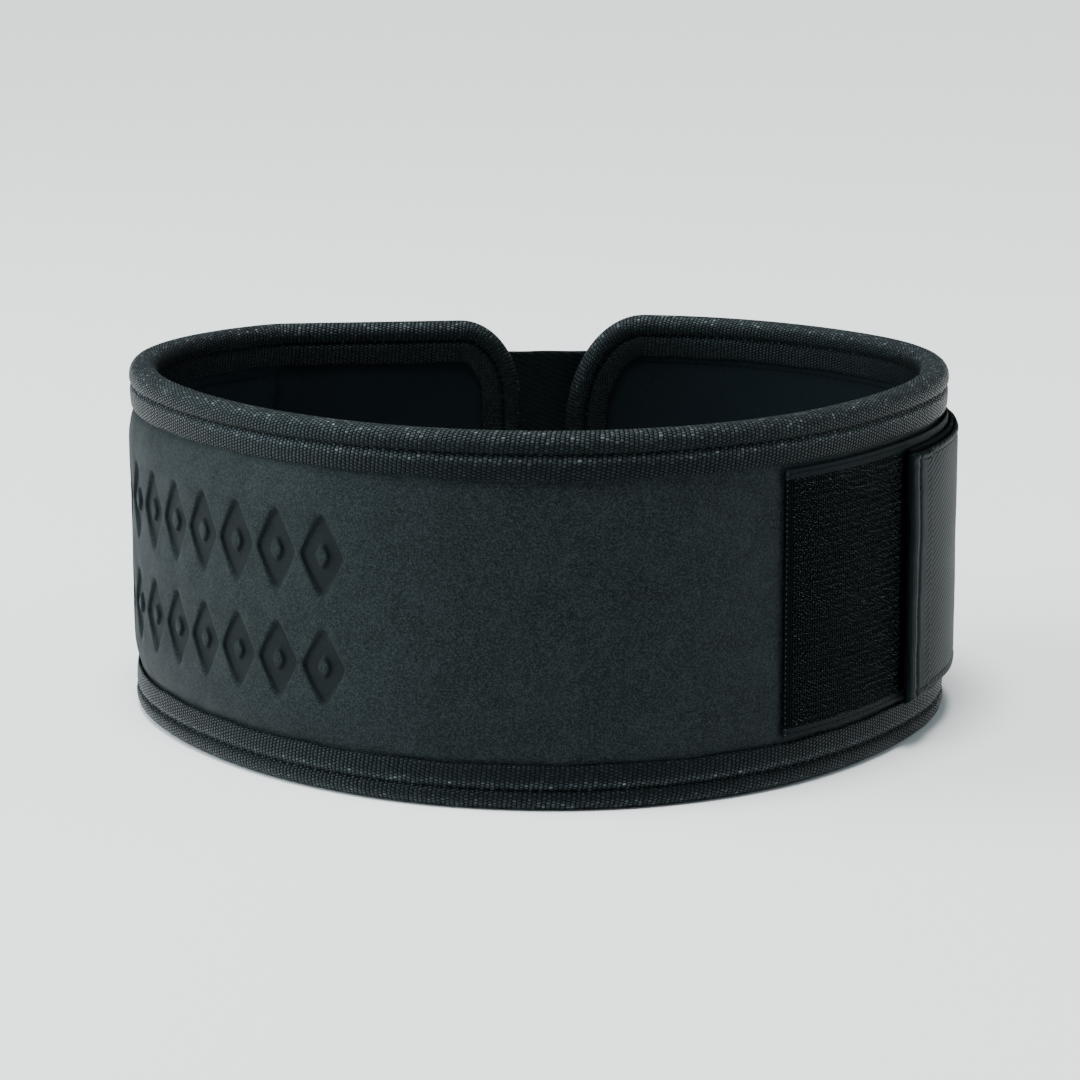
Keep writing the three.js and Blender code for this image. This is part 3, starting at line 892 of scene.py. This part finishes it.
def grown(name, tree, points, outward, edges, material, sizes):
    """Runs a tree on points in millimetres and keeps the result as a plain mesh object."""
    seedbed = bpy.data.meshes.new(name + "_points")
    seedbed.from_pydata((points * MM).tolist(), edges, [])
    layer = seedbed.attributes.new("outward", "FLOAT_VECTOR", "POINT")
    layer.data.foreach_set("vector", outward.astype(np.float32).ravel())
    source = bpy.data.objects.new(name + "_source", seedbed)
    bpy.context.scene.collection.objects.link(source)
    modifier = source.modifiers.new("repeat", "NODES")
    modifier.node_group = tree
    sockets = {
        item.name: item.identifier
        for item in tree.interface.items_tree if item.in_out == "INPUT"
    }
    modifier[sockets["Finish"]] = material
    for size, value in sizes.items():
        modifier[sockets[size]] = value
    graph = bpy.context.evaluated_depsgraph_get()
    mesh = bpy.data.meshes.new_from_object(source.evaluated_get(graph), depsgraph=graph)
    bpy.data.objects.remove(source)
    piece = bpy.data.objects.new(name, mesh)
    bpy.context.scene.collection.objects.link(piece)
    print(f"{name}: {len(mesh.polygons)} faces")
    return piece


# %% [markdown]
# A stitch is a short bent stick of thread: it comes up out of the cloth, lies on it and
# goes down again. The tree cuts the seam line into steps of one pitch, and turns each
# stitch along the seam and then outwards.

# %% The sewing tree
def sewing_tree():
    tree, start = new_tree("sewing", ["Pitch", "Length", "Thread", "Sink", "Slant"])
    line = add(tree, "GeometryNodeMeshToCurve", {"Mesh": start.outputs["Geometry"]})
    steps = add(tree, "GeometryNodeResampleCurve",
                {"Curve": line.outputs[0], "Length": start.outputs["Pitch"]}, mode="LENGTH")
    # the stitch's ends and its bend, each as a share of a named size
    back, ahead, down, top, radius = (
        add(tree, "ShaderNodeMath", {0: start.outputs[size], 1: share}, operation="MULTIPLY").outputs[0]
        for size, share in [("Length", -0.5), ("Length", 0.5), ("Sink", -1.0), ("Sink", 0.9),
                            ("Thread", 0.5)]
    )
    first, middle, last = (
        add(tree, "ShaderNodeCombineXYZ", place).outputs[0]
        for place in ({"X": back, "Z": down}, {"Z": top}, {"X": ahead, "Z": down})
    )
    thread = add(tree, "GeometryNodeCurveQuadraticBezier",
                 {"Resolution": 5, "Start": first, "Middle": middle, "End": last})
    ring = add(tree, "GeometryNodeCurvePrimitiveCircle", {"Resolution": 6, "Radius": radius})
    stick = add(tree, "GeometryNodeCurveToMesh",
                {"Curve": thread.outputs[0], "Profile Curve": ring.outputs[0], "Fill Caps": True})
    along = add(tree, "GeometryNodeInputTangent")
    outward = add(tree, "GeometryNodeInputNamedAttribute", {"Name": "outward"},
                  data_type="FLOAT_VECTOR")
    aligned = add(tree, "FunctionNodeAlignRotationToVector", {"Vector": along.outputs[0]}, axis="X")
    turned = add(tree, "FunctionNodeAlignRotationToVector",
                 {"Rotation": aligned.outputs[0], "Vector": outward.outputs[0]},
                 axis="Z", pivot_axis="X")
    slant = add(tree, "ShaderNodeCombineXYZ", {"Z": start.outputs["Slant"]})
    lean = add(tree, "FunctionNodeRotateRotation",
               {"Rotation": turned.outputs[0], "Rotate By": slant.outputs[0]}, rotation_space="LOCAL")
    copies = add(tree, "GeometryNodeInstanceOnPoints",
                 {"Points": steps.outputs[0], "Instance": stick.outputs[0], "Rotation": lean.outputs[0]})
    finish_tree(tree, start, copies.outputs[0])
    return tree


sewing = sewing_tree()

# %% [markdown]
# A hook is a bent nylon wire that stands out of the web and curls over at its tip. The
# rows lean to alternate sides, and a random turn, from a fixed seed, makes each catch
# the light in its own way.

# %% The hook tree
def hook_tree():
    tree, start = new_tree("hooks", ["Height", "Wire"])
    # the curl's reach, its tip and the top of its bow, each as a share of a named size
    curl, tip_height, over, radius = (
        add(tree, "ShaderNodeMath", {0: start.outputs[size], 1: share}, operation="MULTIPLY").outputs[0]
        for size, share in [("Height", 0.6), ("Height", 0.45), ("Height", 1.35), ("Wire", 0.5)]
    )
    left, right, tip = (
        add(tree, "ShaderNodeCombineXYZ", place).outputs[0]
        for place in ({"Z": over}, {"X": curl, "Z": over}, {"X": curl, "Z": tip_height})
    )
    bow = add(tree, "GeometryNodeCurvePrimitiveBezierSegment",
              {"Resolution": 5, "Start": (0.0, 0.0, 0.0), "Start Handle": left,
               "End Handle": right, "End": tip}, mode="POSITION")
    ring = add(tree, "GeometryNodeCurvePrimitiveCircle", {"Resolution": 3, "Radius": radius})
    hook = add(tree, "GeometryNodeCurveToMesh",
               {"Curve": bow.outputs[0], "Profile Curve": ring.outputs[0], "Fill Caps": True})
    outward = add(tree, "GeometryNodeInputNamedAttribute", {"Name": "outward"},
                  data_type="FLOAT_VECTOR")
    upright = add(tree, "FunctionNodeAlignRotationToVector", {"Vector": outward.outputs[0]}, axis="Z")
    lean = add(tree, "FunctionNodeRandomValue",
               {0: (-0.25, -0.25, -0.7), 1: (0.25, 0.25, 0.7), "Seed": 4}, data_type="FLOAT_VECTOR")
    index = add(tree, "GeometryNodeInputIndex")
    odd = add(tree, "ShaderNodeMath", {0: index.outputs[0], 1: 2.0}, operation="MODULO")
    half_turn = add(tree, "ShaderNodeMath", {0: odd.outputs[0], 1: math.pi}, operation="MULTIPLY")
    about = add(tree, "ShaderNodeCombineXYZ", {"Z": half_turn.outputs[0]})
    turned = upright
    for turn in (about, lean):
        turned = add(tree, "FunctionNodeRotateRotation",
                     {"Rotation": turned.outputs[0], "Rotate By": turn.outputs[0]},
                     rotation_space="LOCAL")
    size = add(tree, "FunctionNodeRandomValue", {2: 0.85, 3: 1.15, "Seed": 9}, data_type="FLOAT")
    copies = add(tree, "GeometryNodeInstanceOnPoints",
                 {"Points": start.outputs["Geometry"], "Instance": hook.outputs[0],
                  "Rotation": turned.outputs[0], "Scale": size.outputs[1]})
    finish_tree(tree, start, copies.outputs[0])
    return tree


hooks_tree = hook_tree()

# %% [markdown]
# ## Finishes
# Colours are written as sRGB hex values, as they are picked from a picture, and one
# function turns them to the linear values that light works in. A weave reads the
# piece's flat UV, which is in millimetres, and a nap or a twist reads the solid's space.

# %% Colour and material helpers
def ink(code):
    parts = [int(code[i:i + 2], 16) / 255 for i in (1, 3, 5)]
    return (*(p / 12.92 if p <= 0.04045 else ((p + 0.055) / 1.055) ** 2.4 for p in parts), 1.0)


cool_gloss = ink("#d2eef6")


def new_finish(name, **values):
    """A material with one Principled surface, its plain values set on their own sockets."""
    material = bpy.data.materials.new(name)
    material.use_nodes = True
    tree = material.node_tree
    surface = next(node for node in tree.nodes if node.type == "BSDF_PRINCIPLED")
    for socket, value in {"specular_tint": cool_gloss, **values}.items():
        surface.inputs[socket.replace("_", " ").title().replace("Ior", "IOR")].default_value = value
    material.diffuse_color = values.get("base_color", (0.05, 0.05, 0.05, 1))
    return material, tree, surface


# %% [markdown]
# The leather is an aniline dyed, waxed nubuck: matt, with a fine even nap, a slow
# cloudiness from the dye, and almost no gloss except at a grazing angle. Its noise is
# read in the solid's own space, so it doesn't stretch on the walls of the pressed
# forms. The die's heat closes the nap, so these are smoother and darker.

# %% Leather
nap_size, tip_size, cloud_size = 0.42, 0.36, 9.0
nap_low, nap_high = 0.35, 0.76
tip_share, cloud_share, fibre_lift = 0.45, 0.15, 0.09
nap_bump, closed_bump, closed_share = 0.1, 0.25, 0.8
leather_dark, leather_light, pressed_dark = ink("#050706"), ink("#242a2c"), ink("#090b0c")


def leather_finish():
    material, tree, surface = new_finish("waxed_nubuck_leather", specular_ior_level=0.1)
    where = add(tree, "ShaderNodeTexCoord").outputs["Object"]
    pressed = add(tree, "ShaderNodeAttribute", attribute_name="pressed").outputs["Fac"]
    nap = add(tree, "ShaderNodeTexNoise",
              {"Vector": where, "Scale": 1 / (nap_size * MM), "Detail": 2.0,
               "Roughness": 0.7}).outputs[0]
    cloud = add(tree, "ShaderNodeTexNoise",
                {"Vector": where, "Scale": 1 / (cloud_size * MM), "Detail": 4.0,
                 "Roughness": 0.6}).outputs[0]
    cells = add(tree, "ShaderNodeTexVoronoi", {"Vector": where, "Scale": 1 / (tip_size * MM)})
    tips = add(tree, "ShaderNodeSeparateColor", {"Color": cells.outputs["Color"]}).outputs[0]
    bright_tips = add(tree, "ShaderNodeMath", {0: tips, 1: 5.0}, operation="POWER").outputs[0]
    fibres = add(tree, "ShaderNodeMath", {0: bright_tips, 1: tip_share, 2: nap},
                 operation="MULTIPLY_ADD").outputs[0]
    both = add(tree, "ShaderNodeMath", {0: cloud, 1: cloud_share, 2: fibres},
               operation="MULTIPLY_ADD").outputs[0]
    share = add(tree, "ShaderNodeMapRange", {"Value": both, "From Min": nap_low + fibre_lift,
                                             "From Max": nap_high + fibre_lift}).outputs[0]
    colour = add(tree, "ShaderNodeMix", {0: share, 6: leather_dark, 7: leather_light},
                 data_type="RGBA").outputs[2]
    closed = add(tree, "ShaderNodeMath", {0: pressed, 1: closed_share},
                 operation="MULTIPLY").outputs[0]
    dyed = add(tree, "ShaderNodeMix", {0: closed, 6: colour, 7: pressed_dark}, data_type="RGBA")
    tree.links.new(dyed.outputs[2], surface.inputs["Base Color"])
    open_nap = add(tree, "ShaderNodeMapRange",
                   {"Value": pressed, "To Min": 1.0, "To Max": closed_bump}).outputs[0]
    bump = add(tree, "ShaderNodeBump",
               {"Height": fibres, "Strength": open_nap, "Distance": nap_bump * MM})
    tree.links.new(bump.outputs[0], surface.inputs["Normal"])
    matt = add(tree, "ShaderNodeMapRange", {"Value": cloud, "From Min": 0.3, "From Max": 0.7,
                                            "To Min": 0.68, "To Max": 0.56}).outputs[0]
    tree.links.new(matt, surface.inputs["Roughness"])
    return material


leather.data.materials.append(leather_finish())

# %% [markdown]
# The tape is a filament nylon weave: ribs of small pillows, 1.25 mm apart, with the
# pillows of one rib half a step off those of the next. Two sines, one along the rib and
# one across it, make the pillows, and white noise gives each its own tone. It is black,
# but on the crown of the roll and the row under the groove the pillows are painted grey
# as top light, and a few pillows there get a painted glint.

# %% Woven tape
rib_step, float_length, rib_lean = 1.25, 0.92, 0.12
tape_dark, tape_light, tape_gap = ink("#050708"), ink("#12181a"), ink("#000101")
# painted top light: the grey pillows of the crown and of the row under the groove, and their painted glint
lit_grey_dark, lit_grey_light, painted_glint = ink("#2a2f31"), ink("#485052"), ink("#646e70")
# a pillow's tone is white noise to this power, and the brightest of them get a painted glint
tone_power, painted_glint_from = 2.5, 0.93
# how full a pillow is where the gap ends and where its own colour starts
gap_ends, pillow_starts, gap_roughness = 0.3, 0.75, 0.95


def woven_finish(name, ribs, floats, lean, depth, dyes, roughness, gloss, painted_top_light=()):
    """A weave of pillows; dyes are the gaps, dark and light pillows, and the last colours, if given, the
    grey and glint of a painted top light.
    """
    material, tree, surface = new_finish(name, specular_ior_level=gloss)
    flat = add(tree, "ShaderNodeUVMap", uv_map="flat").outputs[0]
    parts = add(tree, "ShaderNodeSeparateXYZ", {"Vector": flat})
    wobble = add(tree, "ShaderNodeTexNoise", {"Vector": flat, "Scale": 0.5, "Detail": 1.0},
                 noise_dimensions="2D")
    made = {"x": parts.outputs["X"], "y": parts.outputs["Y"], "wobble": wobble.outputs[0]}
    # each row makes one value from numbers and from values made before it
    for result, operation, *terms in [
        ("leaning", "MULTIPLY_ADD", "y", lean, "x"),
        ("swaying", "MULTIPLY_ADD", "wobble", 0.5, "leaning"),
        ("rib", "DIVIDE", "swaying", ribs),
        ("rib number", "FLOOR", "rib"),
        ("across rib", "FRACT", "rib"),
        ("across angle", "MULTIPLY", "across rib", math.pi),
        ("across", "SINE", "across angle"),
        ("height", "DIVIDE", "y", floats),
        ("step", "MULTIPLY_ADD", "rib number", 0.5, "height"),
        ("step number", "FLOOR", "step"),
        ("along step", "FRACT", "step"),
        ("along angle", "MULTIPLY", "along step", math.pi),
        ("along", "SINE", "along angle"),
        ("both", "MULTIPLY", "across", "along"),
        ("pillow", "POWER", "both", 0.6),
    ]:
        sockets = {k: made.get(term, term) for k, term in enumerate(terms)}
        made[result] = add(tree, "ShaderNodeMath", sockets, operation=operation).outputs[0]
    cell = add(tree, "ShaderNodeCombineXYZ", {"X": made["rib number"], "Y": made["step number"]})
    tone = add(tree, "ShaderNodeTexWhiteNoise", {"Vector": cell.outputs[0]},
               noise_dimensions="2D").outputs["Value"]
    share = add(tree, "ShaderNodeMath", {0: tone, 1: tone_power}, operation="POWER").outputs[0]
    full = add(tree, "ShaderNodeMapRange",
               {"Value": made["pillow"], "From Min": gap_ends, "From Max": pillow_starts},
               interpolation_type="SMOOTHSTEP").outputs[0]
    gap, dark, light = dyes
    # from the first to the second colour by a share, "under" being the layer before it
    layers = [(share, dark, light), (full, gap, "under")]
    if painted_top_light:
        # painted top light: where the mesh is marked, the pillows turn grey as if lit from above
        painted_light_share = add(tree, "ShaderNodeAttribute", attribute_name="painted_top_light").outputs["Fac"]
        # painted glint: the brightest pillows in the painted top light turn near white
        painted_glint_share = add(tree, "ShaderNodeMapRange", {"Value": tone, "From Min": painted_glint_from}).outputs[0]
        painted_grey_dark, painted_grey_light, painted_glint_colour = painted_top_light
        grey = add(tree, "ShaderNodeMix", {0: share, 6: painted_grey_dark, 7: painted_grey_light}, data_type="RGBA")
        bright = add(tree, "ShaderNodeMix", {0: painted_glint_share, 6: grey.outputs[2], 7: painted_glint_colour},
                     data_type="RGBA")
        layers.insert(1, (painted_light_share, "under", bright.outputs[2]))
    under = None
    for amount, *colours in layers:
        first, second = (under if colour == "under" else colour for colour in colours)
        under = add(tree, "ShaderNodeMix", {0: amount, 6: first, 7: second},
                    data_type="RGBA").outputs[2]
    tree.links.new(under, surface.inputs["Base Color"])
    matt = add(tree, "ShaderNodeMath", {0: full, 1: roughness - gap_roughness, 2: gap_roughness},
               operation="MULTIPLY_ADD").outputs[0]
    tree.links.new(matt, surface.inputs["Roughness"])
    bump = add(tree, "ShaderNodeBump",
               {"Height": made["pillow"], "Strength": 1.0, "Distance": depth * MM})
    tree.links.new(bump.outputs[0], surface.inputs["Normal"])
    return material


binding.data.materials.append(
    woven_finish("woven_nylon_tape", rib_step, float_length, rib_lean, 0.26,
                 (tape_gap, tape_dark, tape_light), 0.3, 0.14, (lit_grey_dark, lit_grey_light, painted_glint)))

# %% [markdown]
# The strap is a polyester web in a fine twill, so soft bands climb across it over much
# finer picks. The folded hem at its free end shows a few upright ribs instead.

# %% Webbing
twill_pitch, twill_turn, twill_sway = 1.55, 66.0, 0.8
pick_length, pick_height, pick_gap = 0.85, 0.5, 0.16
hem_rib_pitch, hem_ribs_end = 0.85, 9.4
web_dark, web_light = ink("#040808"), ink("#0e1618")


def webbing_finish():
    material, tree, surface = new_finish("polyester_twill_webbing", roughness=0.5, specular_ior_level=0.08)

    flat = add(tree, "ShaderNodeUVMap", uv_map="flat").outputs[0]
    across = add(tree, "ShaderNodeSeparateXYZ", {"Vector": flat}).outputs["X"]
    on_hem = add(tree, "ShaderNodeMath", {0: across, 1: hem_ribs_end},
                 operation="LESS_THAN").outputs[0]
    turned = add(tree, "ShaderNodeMapping",
                 {"Vector": flat, "Rotation": (0, 0, math.radians(twill_turn))}).outputs[0]
    twill, ribs = (
        add(tree, "ShaderNodeTexWave",
            {"Vector": vector, "Scale": math.pi / 10 / pitch, "Distortion": sway,
             "Detail": 1.0, "Detail Scale": 0.5}).outputs["Fac"]
        for vector, pitch, sway in ((turned, twill_pitch, twill_sway), (flat, hem_rib_pitch, 0.0))
    )
    hem_ribs = add(tree, "ShaderNodeMath", {0: ribs, 1: 0.4, 2: 0.3},
                   operation="MULTIPLY_ADD").outputs[0]
    weave = add(tree, "ShaderNodeMix", {0: on_hem, 2: twill, 3: hem_ribs},
                data_type="FLOAT").outputs[0]
    picks = add(tree, "ShaderNodeTexBrick",
                {"Vector": flat, "Scale": 1.0, "Mortar Size": pick_gap, "Mortar Smooth": 1.0,
                 "Brick Width": pick_length, "Row Height": pick_height,
                 "Color1": web_dark, "Color2": web_light, "Mortar": tape_gap})
    grooves = add(tree, "ShaderNodeMix", {0: on_hem, 2: picks.outputs["Fac"], 3: 0.0},
                  data_type="FLOAT").outputs[0]
    height = add(tree, "ShaderNodeMath", {0: grooves, 1: -0.35, 2: weave},
                 operation="MULTIPLY_ADD").outputs[0]
    shade = add(tree, "ShaderNodeMath", {0: weave, 1: 0.75}, operation="MULTIPLY").outputs[0]
    ground = add(tree, "ShaderNodeMix", {0: on_hem, 6: picks.outputs["Color"], 7: web_dark},
                 data_type="RGBA").outputs[2]
    colour = add(tree, "ShaderNodeMix", {0: shade, 6: ground, 7: web_light}, data_type="RGBA")
    tree.links.new(colour.outputs[2], surface.inputs["Base Color"])
    bump = add(tree, "ShaderNodeBump", {"Height": height, "Strength": 0.8, "Distance": 0.16 * MM})
    tree.links.new(bump.outputs[0], surface.inputs["Normal"])
    return material


strap.data.materials.append(webbing_finish())

# %% [markdown]
# Lining, pile and nylon are all near black. The lining is a brushed knit and drinks the
# light, the pile is rougher still, and the hooks are glossy nylon.

# %% Lining, pile, nylon and thread
brushed_cloud = 16
# lumps of a thread's twist, a third of a millimetre, per metre
twist_scale = 3000.0
shadow = ink("#050606")


def brushed_finish(name, dark, light, size, depth):
    material, tree, surface = new_finish(name, roughness=0.95, specular_ior_level=0.06)
    where = add(tree, "ShaderNodeTexCoord").outputs["Object"]
    nap, cloud = (
        add(tree, "ShaderNodeTexNoise",
            {"Vector": where, "Scale": 1 / (grain * MM), "Detail": 3.0}).outputs[0]
        for grain in (size, brushed_cloud)
    )
    share = add(tree, "ShaderNodeMath", {0: nap, 1: cloud}, operation="ADD").outputs[0]
    colour = add(tree, "ShaderNodeMix", {0: share, 6: dark, 7: light}, data_type="RGBA").outputs[2]
    tree.links.new(colour, surface.inputs["Base Color"])
    bump = add(tree, "ShaderNodeBump", {"Height": nap, "Strength": 0.8, "Distance": depth * MM})
    tree.links.new(bump.outputs[0], surface.inputs["Normal"])
    return material


lining.data.materials.append(
    brushed_finish("brushed_nylon_knit", ink("#080c0e"), ink("#0f1518"), 0.7, 0.2))
pile.data.materials.append(
    brushed_finish("loop_pile", ink("#040506"), ink("#0a0d0e"), 0.5, 0.4))
# the web among the hooks is black nylon, made darker than its selvage as painted shade under the hooks
web.data.materials.append(
    woven_finish("nylon_hook_web", 0.9, 0.6, 0.0, 0.15,
                 (tape_gap, ink("#030404"), ink("#0a0c0d")), 0.6, 0.04))
web.data.materials.append(
    woven_finish("nylon_hook_web_selvage", 0.5, 0.4, 0.3, 0.05,
                 (ink("#0c0f10"), ink("#0f1314"), ink("#161b1d")), 0.5, 0.08))
# faces in the hook field get the darker web of painted shade, those on the selvage the lighter one
for face in web.data.polygons:
    height = face.center.z / MM
    margin = min(height - patch_low, patch_high - height)
    face.material_index = int(margin < web_selvage - 0.3)


def plain_finish(name, colour, roughness, gloss):
    material, tree, surface = new_finish(name, roughness=roughness, specular_ior_level=gloss)
    where = add(tree, "ShaderNodeTexCoord").outputs["Object"]
    twist = add(tree, "ShaderNodeTexNoise",
                {"Vector": where, "Scale": twist_scale, "Detail": 1.0}).outputs[0]
    tint = add(tree, "ShaderNodeMix", {0: twist, 6: shadow, 7: colour}, data_type="RGBA")
    tree.links.new(tint.outputs[2], surface.inputs["Base Color"])
    bump = add(tree, "ShaderNodeBump", {"Height": twist, "Strength": 0.5, "Distance": 0.05 * MM})
    tree.links.new(bump.outputs[0], surface.inputs["Normal"])
    return material


thread_black = plain_finish("bonded_nylon_thread", ink("#060808"), 0.6, 0.05)
thread_grey = plain_finish("filament_nylon_thread", ink("#4d585c"), 0.35, 0.3)
hook_nylon = plain_finish("hook_nylon", ink("#050707"), 0.12, 0.8)

# %% [markdown]
# ## Hooks and stitches in place
# The hooks stand on the open part of the patch and stop just under the strap's tip,
# where the pile takes over. Seams follow the groove of the binding on both faces, the
# patch's border, the strap's edges, its hem and its sewn end. Those of the patch and of
# the sewn end come through on the lining.

# %% Rows of hooks
hook_pitch = 0.98
hook_height, hook_wire = 0.8, 0.15
hook_border, hook_stop = 2.6, 1.2
hook_scatter, hook_root = 0.07, 0.1


def outward_at(track, station):
    flat = track.read(track.outward, station)
    flat /= np.linalg.norm(flat, axis=-1)[..., None]
    return np.concatenate([flat, np.zeros((*flat.shape[:-1], 1))], axis=-1)


def hook_places():
    across = np.arange(patch_start + hook_border, strap_reach - hook_stop, hook_pitch)
    upright = np.arange(patch_low + web_selvage, patch_high - web_selvage, hook_pitch)
    s, z = np.meshgrid(across, upright, indexing="ij")
    z = z + (np.arange(len(across)) % 2)[:, None] * hook_pitch / 2
    draw = np.random.default_rng(51)
    s = s + draw.normal(0, hook_scatter, s.shape)
    z = z + draw.normal(0, hook_scatter, z.shape)
    points = waist.place(s, patch_face(s, z) - hook_root, z)
    return points.reshape(-1, 3), outward_at(waist, s).reshape(-1, 3)


places, facing = hook_places()
hooks = grown("hook_patch_hooks", hooks_tree, places, facing, [], hook_nylon,
              {"Height": hook_height * MM, "Wire": hook_wire * MM})
print(len(places), "hooks")

# %% Seams
groove_level = 3.36
# pitch, length, thread and sink of the stitches in millimetres
binding_stitch = (tape_stitch_pitch, 2.5, 0.5, 0.16)
overlock_stitch, overlock_slant = (1.55, 0.6, 0.25, 0.18), 0.3
patch_stitch = (2.4, 1.8, 0.32, 0.1)
strap_stitch = (2.6, 2.0, 0.42, 0.14)
lining_stitch = (2.8, 2.1, 0.45, 0.12)


def seam(name, runs, material, stitch, slant=0.0):
    """Stitches along runs of points; each run is (points, outward)."""
    points = np.concatenate([run[0] for run in runs])
    outward = np.concatenate([run[1] for run in runs])
    edges, start = [], 0
    for run in runs:
        edges += [(start + k, start + k + 1) for k in range(len(run[0]) - 1)]
        start += len(run[0])
    sizes = {size: value * MM for size, value in zip(("Pitch", "Length", "Thread", "Sink"), stitch)}
    return grown(name, sewing, points, outward, edges, material, {**sizes, "Slant": slant})


def run_of(track, corners, level, side=1, step=1.0):
    """A seam run through flat corners (station, height), at a level given by a function."""
    corners = np.array(corners, float)
    lengths = np.linalg.norm(np.diff(corners, axis=0), axis=1)
    marks = np.concatenate([[0.0], np.cumsum(lengths)])
    at = np.linspace(0, marks[-1], max(2, round(marks[-1] / step)))
    s, z = (np.interp(at, marks, corners[:, k]) for k in (0, 1))
    return track.place(s, level(s, z), z), side * outward_at(track, s)


def groove_run(side):
    s = tape_loop[:, 0] + tape_loop[:, 2] * roll_depth
    z = tape_loop[:, 1] + tape_loop[:, 3] * roll_depth
    points = waist.place(s, side * groove_level, z)
    facing_out = side * outward_at(waist, s)
    return np.concatenate([points, points[:1]]), np.concatenate([facing_out, facing_out[:1]])


binding_seam = seam("edge_binding_stitches", [groove_run(1), groove_run(-1)], thread_black,
                    binding_stitch)

# %% Seams of the patch, the strap and the lining
patch_left = patch_start + stitch_inset
visible_end = strap_reach + 3.0
patch_left_line = [(patch_left, patch_high - 1.0), (patch_left, patch_low + 1.0)]
patch_lines = [
    [(visible_end, z), (patch_start + 2.0, z)]
    for z in (patch_high - stitch_inset * 2, patch_low + stitch_inset * 2)
]
patch_seam = seam("hook_patch_overlock", [run_of(waist, patch_left_line, patch_face)],
                  thread_grey, overlock_stitch, overlock_slant)
patch_seams = seam("hook_patch_stitches", [run_of(waist, line, patch_face) for line in patch_lines],
                   thread_black, patch_stitch)


def strap_edge(side):
    """Flat corners of the seam along one edge, where the loop strip is sewn on."""
    border = strap_high if side > 0 else strap_low
    marks = np.arange(hem_row, landing_station - 2, 4.0)
    return [(u, float(border(u)) - side * edge_row) for u in marks]


hem_line = [strap_edge(-1)[0], strap_edge(1)[0]]

box_first, box_last = strap_length - sewn_length + box_inset, strap_length - box_inset
box_middle = belt_height / 2 + strap_width * sewn_rise
box_low = box_middle - strap_width / 2 + box_inset
box_high = box_middle + strap_width / 2 - box_inset
box = [(box_first, box_low), (box_last, box_low), (box_last, box_high), (box_first, box_high)]
strap_lines = [
    hem_line, [*box, box[0]], [box[0], box[2]], [box[1], box[3]], strap_edge(1), strap_edge(-1),
]
strap_seam = seam("webbing_strap_stitches",
                  [run_of(strap_track, line, strap_outer) for line in strap_lines],
                  thread_black, strap_stitch)

# on the lining these are three-sided: the far end of each lies under a fold or the tape
patch_right, stitch_low, stitch_high = patch_end - 5, patch_low + stitch_inset, patch_high - stitch_inset
box_near, box_far = fold_station + 4.0, crease + sewn_length - box_inset
lining_lines = [
    [(patch_right, stitch_low), (patch_left, stitch_low), (patch_left, stitch_high),
     (patch_right, stitch_high)],
    [(box_near, box_low), (box_far, box_low), (box_far, box_high), (box_near, box_high)],
]
lining_seam = seam("padded_lining_stitches",
                   [run_of(waist, line, lining_level, -1) for line in lining_lines],
                   thread_black, lining_stitch)

# %% [markdown]
# ## What each piece stands for
# Each dressed piece replaces the plain solid of the frame that it covers, and its
# hooks or stitches ride with it.

# %% Joining the frame
dressed = {
    "leather_panel": (leather, "leather", []),
    "padded_lining": (lining, "lining_fabric", [lining_seam]),
    "edge_binding": (binding, "binding_tape", [binding_seam]),
    "hook_patch": (web, "hook_tape", [hooks, patch_seam, patch_seams]),
    "loop_strip": (pile, "loop_tape", []),
    "webbing_strap": (strap, "webbing", [strap_seam]),
}
for node, (piece, slot, others) in dressed.items():
    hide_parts(node)
    for each in [piece, *others]:
        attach(each, "root")

# %% [markdown]
# ## Floor and light
# The belt stands on a pale seamless floor in a bright studio. A broad light hangs above
# it, a little to the front, and its bounce off the floor lights the belt's sides. A soft
# box stands on each side, the left one stronger, and they lighten the turning ends.

# %% Floor
floor_half = 60.0
floor_mesh = bpy.data.meshes.new("floor")
floor_mesh.from_pydata([(-floor_half, -floor_half, 0), (floor_half, -floor_half, 0),
                        (floor_half, floor_half, 0), (-floor_half, floor_half, 0)], [], [(0, 1, 2, 3)])
floor = bpy.data.objects.new("floor", floor_mesh)
bpy.context.scene.collection.objects.link(floor)
floor_paper = new_finish("white_studio_paper", base_color=ink("#fafcfc"), roughness=0.9)[0]
floor.data.materials.append(floor_paper)

# %% Lights
sun = bpy.data.lights.new("overhead", "SUN")
sun.energy = 5.0
sun.angle = math.radians(26)
sky_light = bpy.data.objects.new("overhead", sun)
sky_light.rotation_euler = (math.radians(8), math.radians(-4), 0)
bpy.context.scene.collection.objects.link(sky_light)

# name, place in metres, size, watts, colour
soft_boxes = [
    ("left softbox", (-1.5, -0.1, 0.7), (1.2, 1.6), 52, "#e6f4f8"),
    ("right softbox", (1.5, -0.2, 0.7), (1.2, 1.6), 12, "#e0f2f8"),
]
for name, place, size, watts, colour in soft_boxes:
    lamp = bpy.data.lights.new(name, "AREA")
    lamp.shape = "RECTANGLE"
    lamp.size, lamp.size_y = size
    lamp.energy = watts
    lamp.color = ink(colour)[:3]
    holder = bpy.data.objects.new(name, lamp)
    bpy.context.scene.collection.objects.link(holder)
    holder.location = place
    holder.rotation_euler = (-holder.location).to_track_quat("-Z", "Y").to_euler()

world = bpy.data.worlds.new("studio")
bpy.context.scene.world = world
world.use_nodes = True
sky = next(node for node in world.node_tree.nodes if node.type == "BACKGROUND")
sky.inputs["Color"].default_value = ink("#f4f9fa")
sky.inputs["Strength"].default_value = 0.12
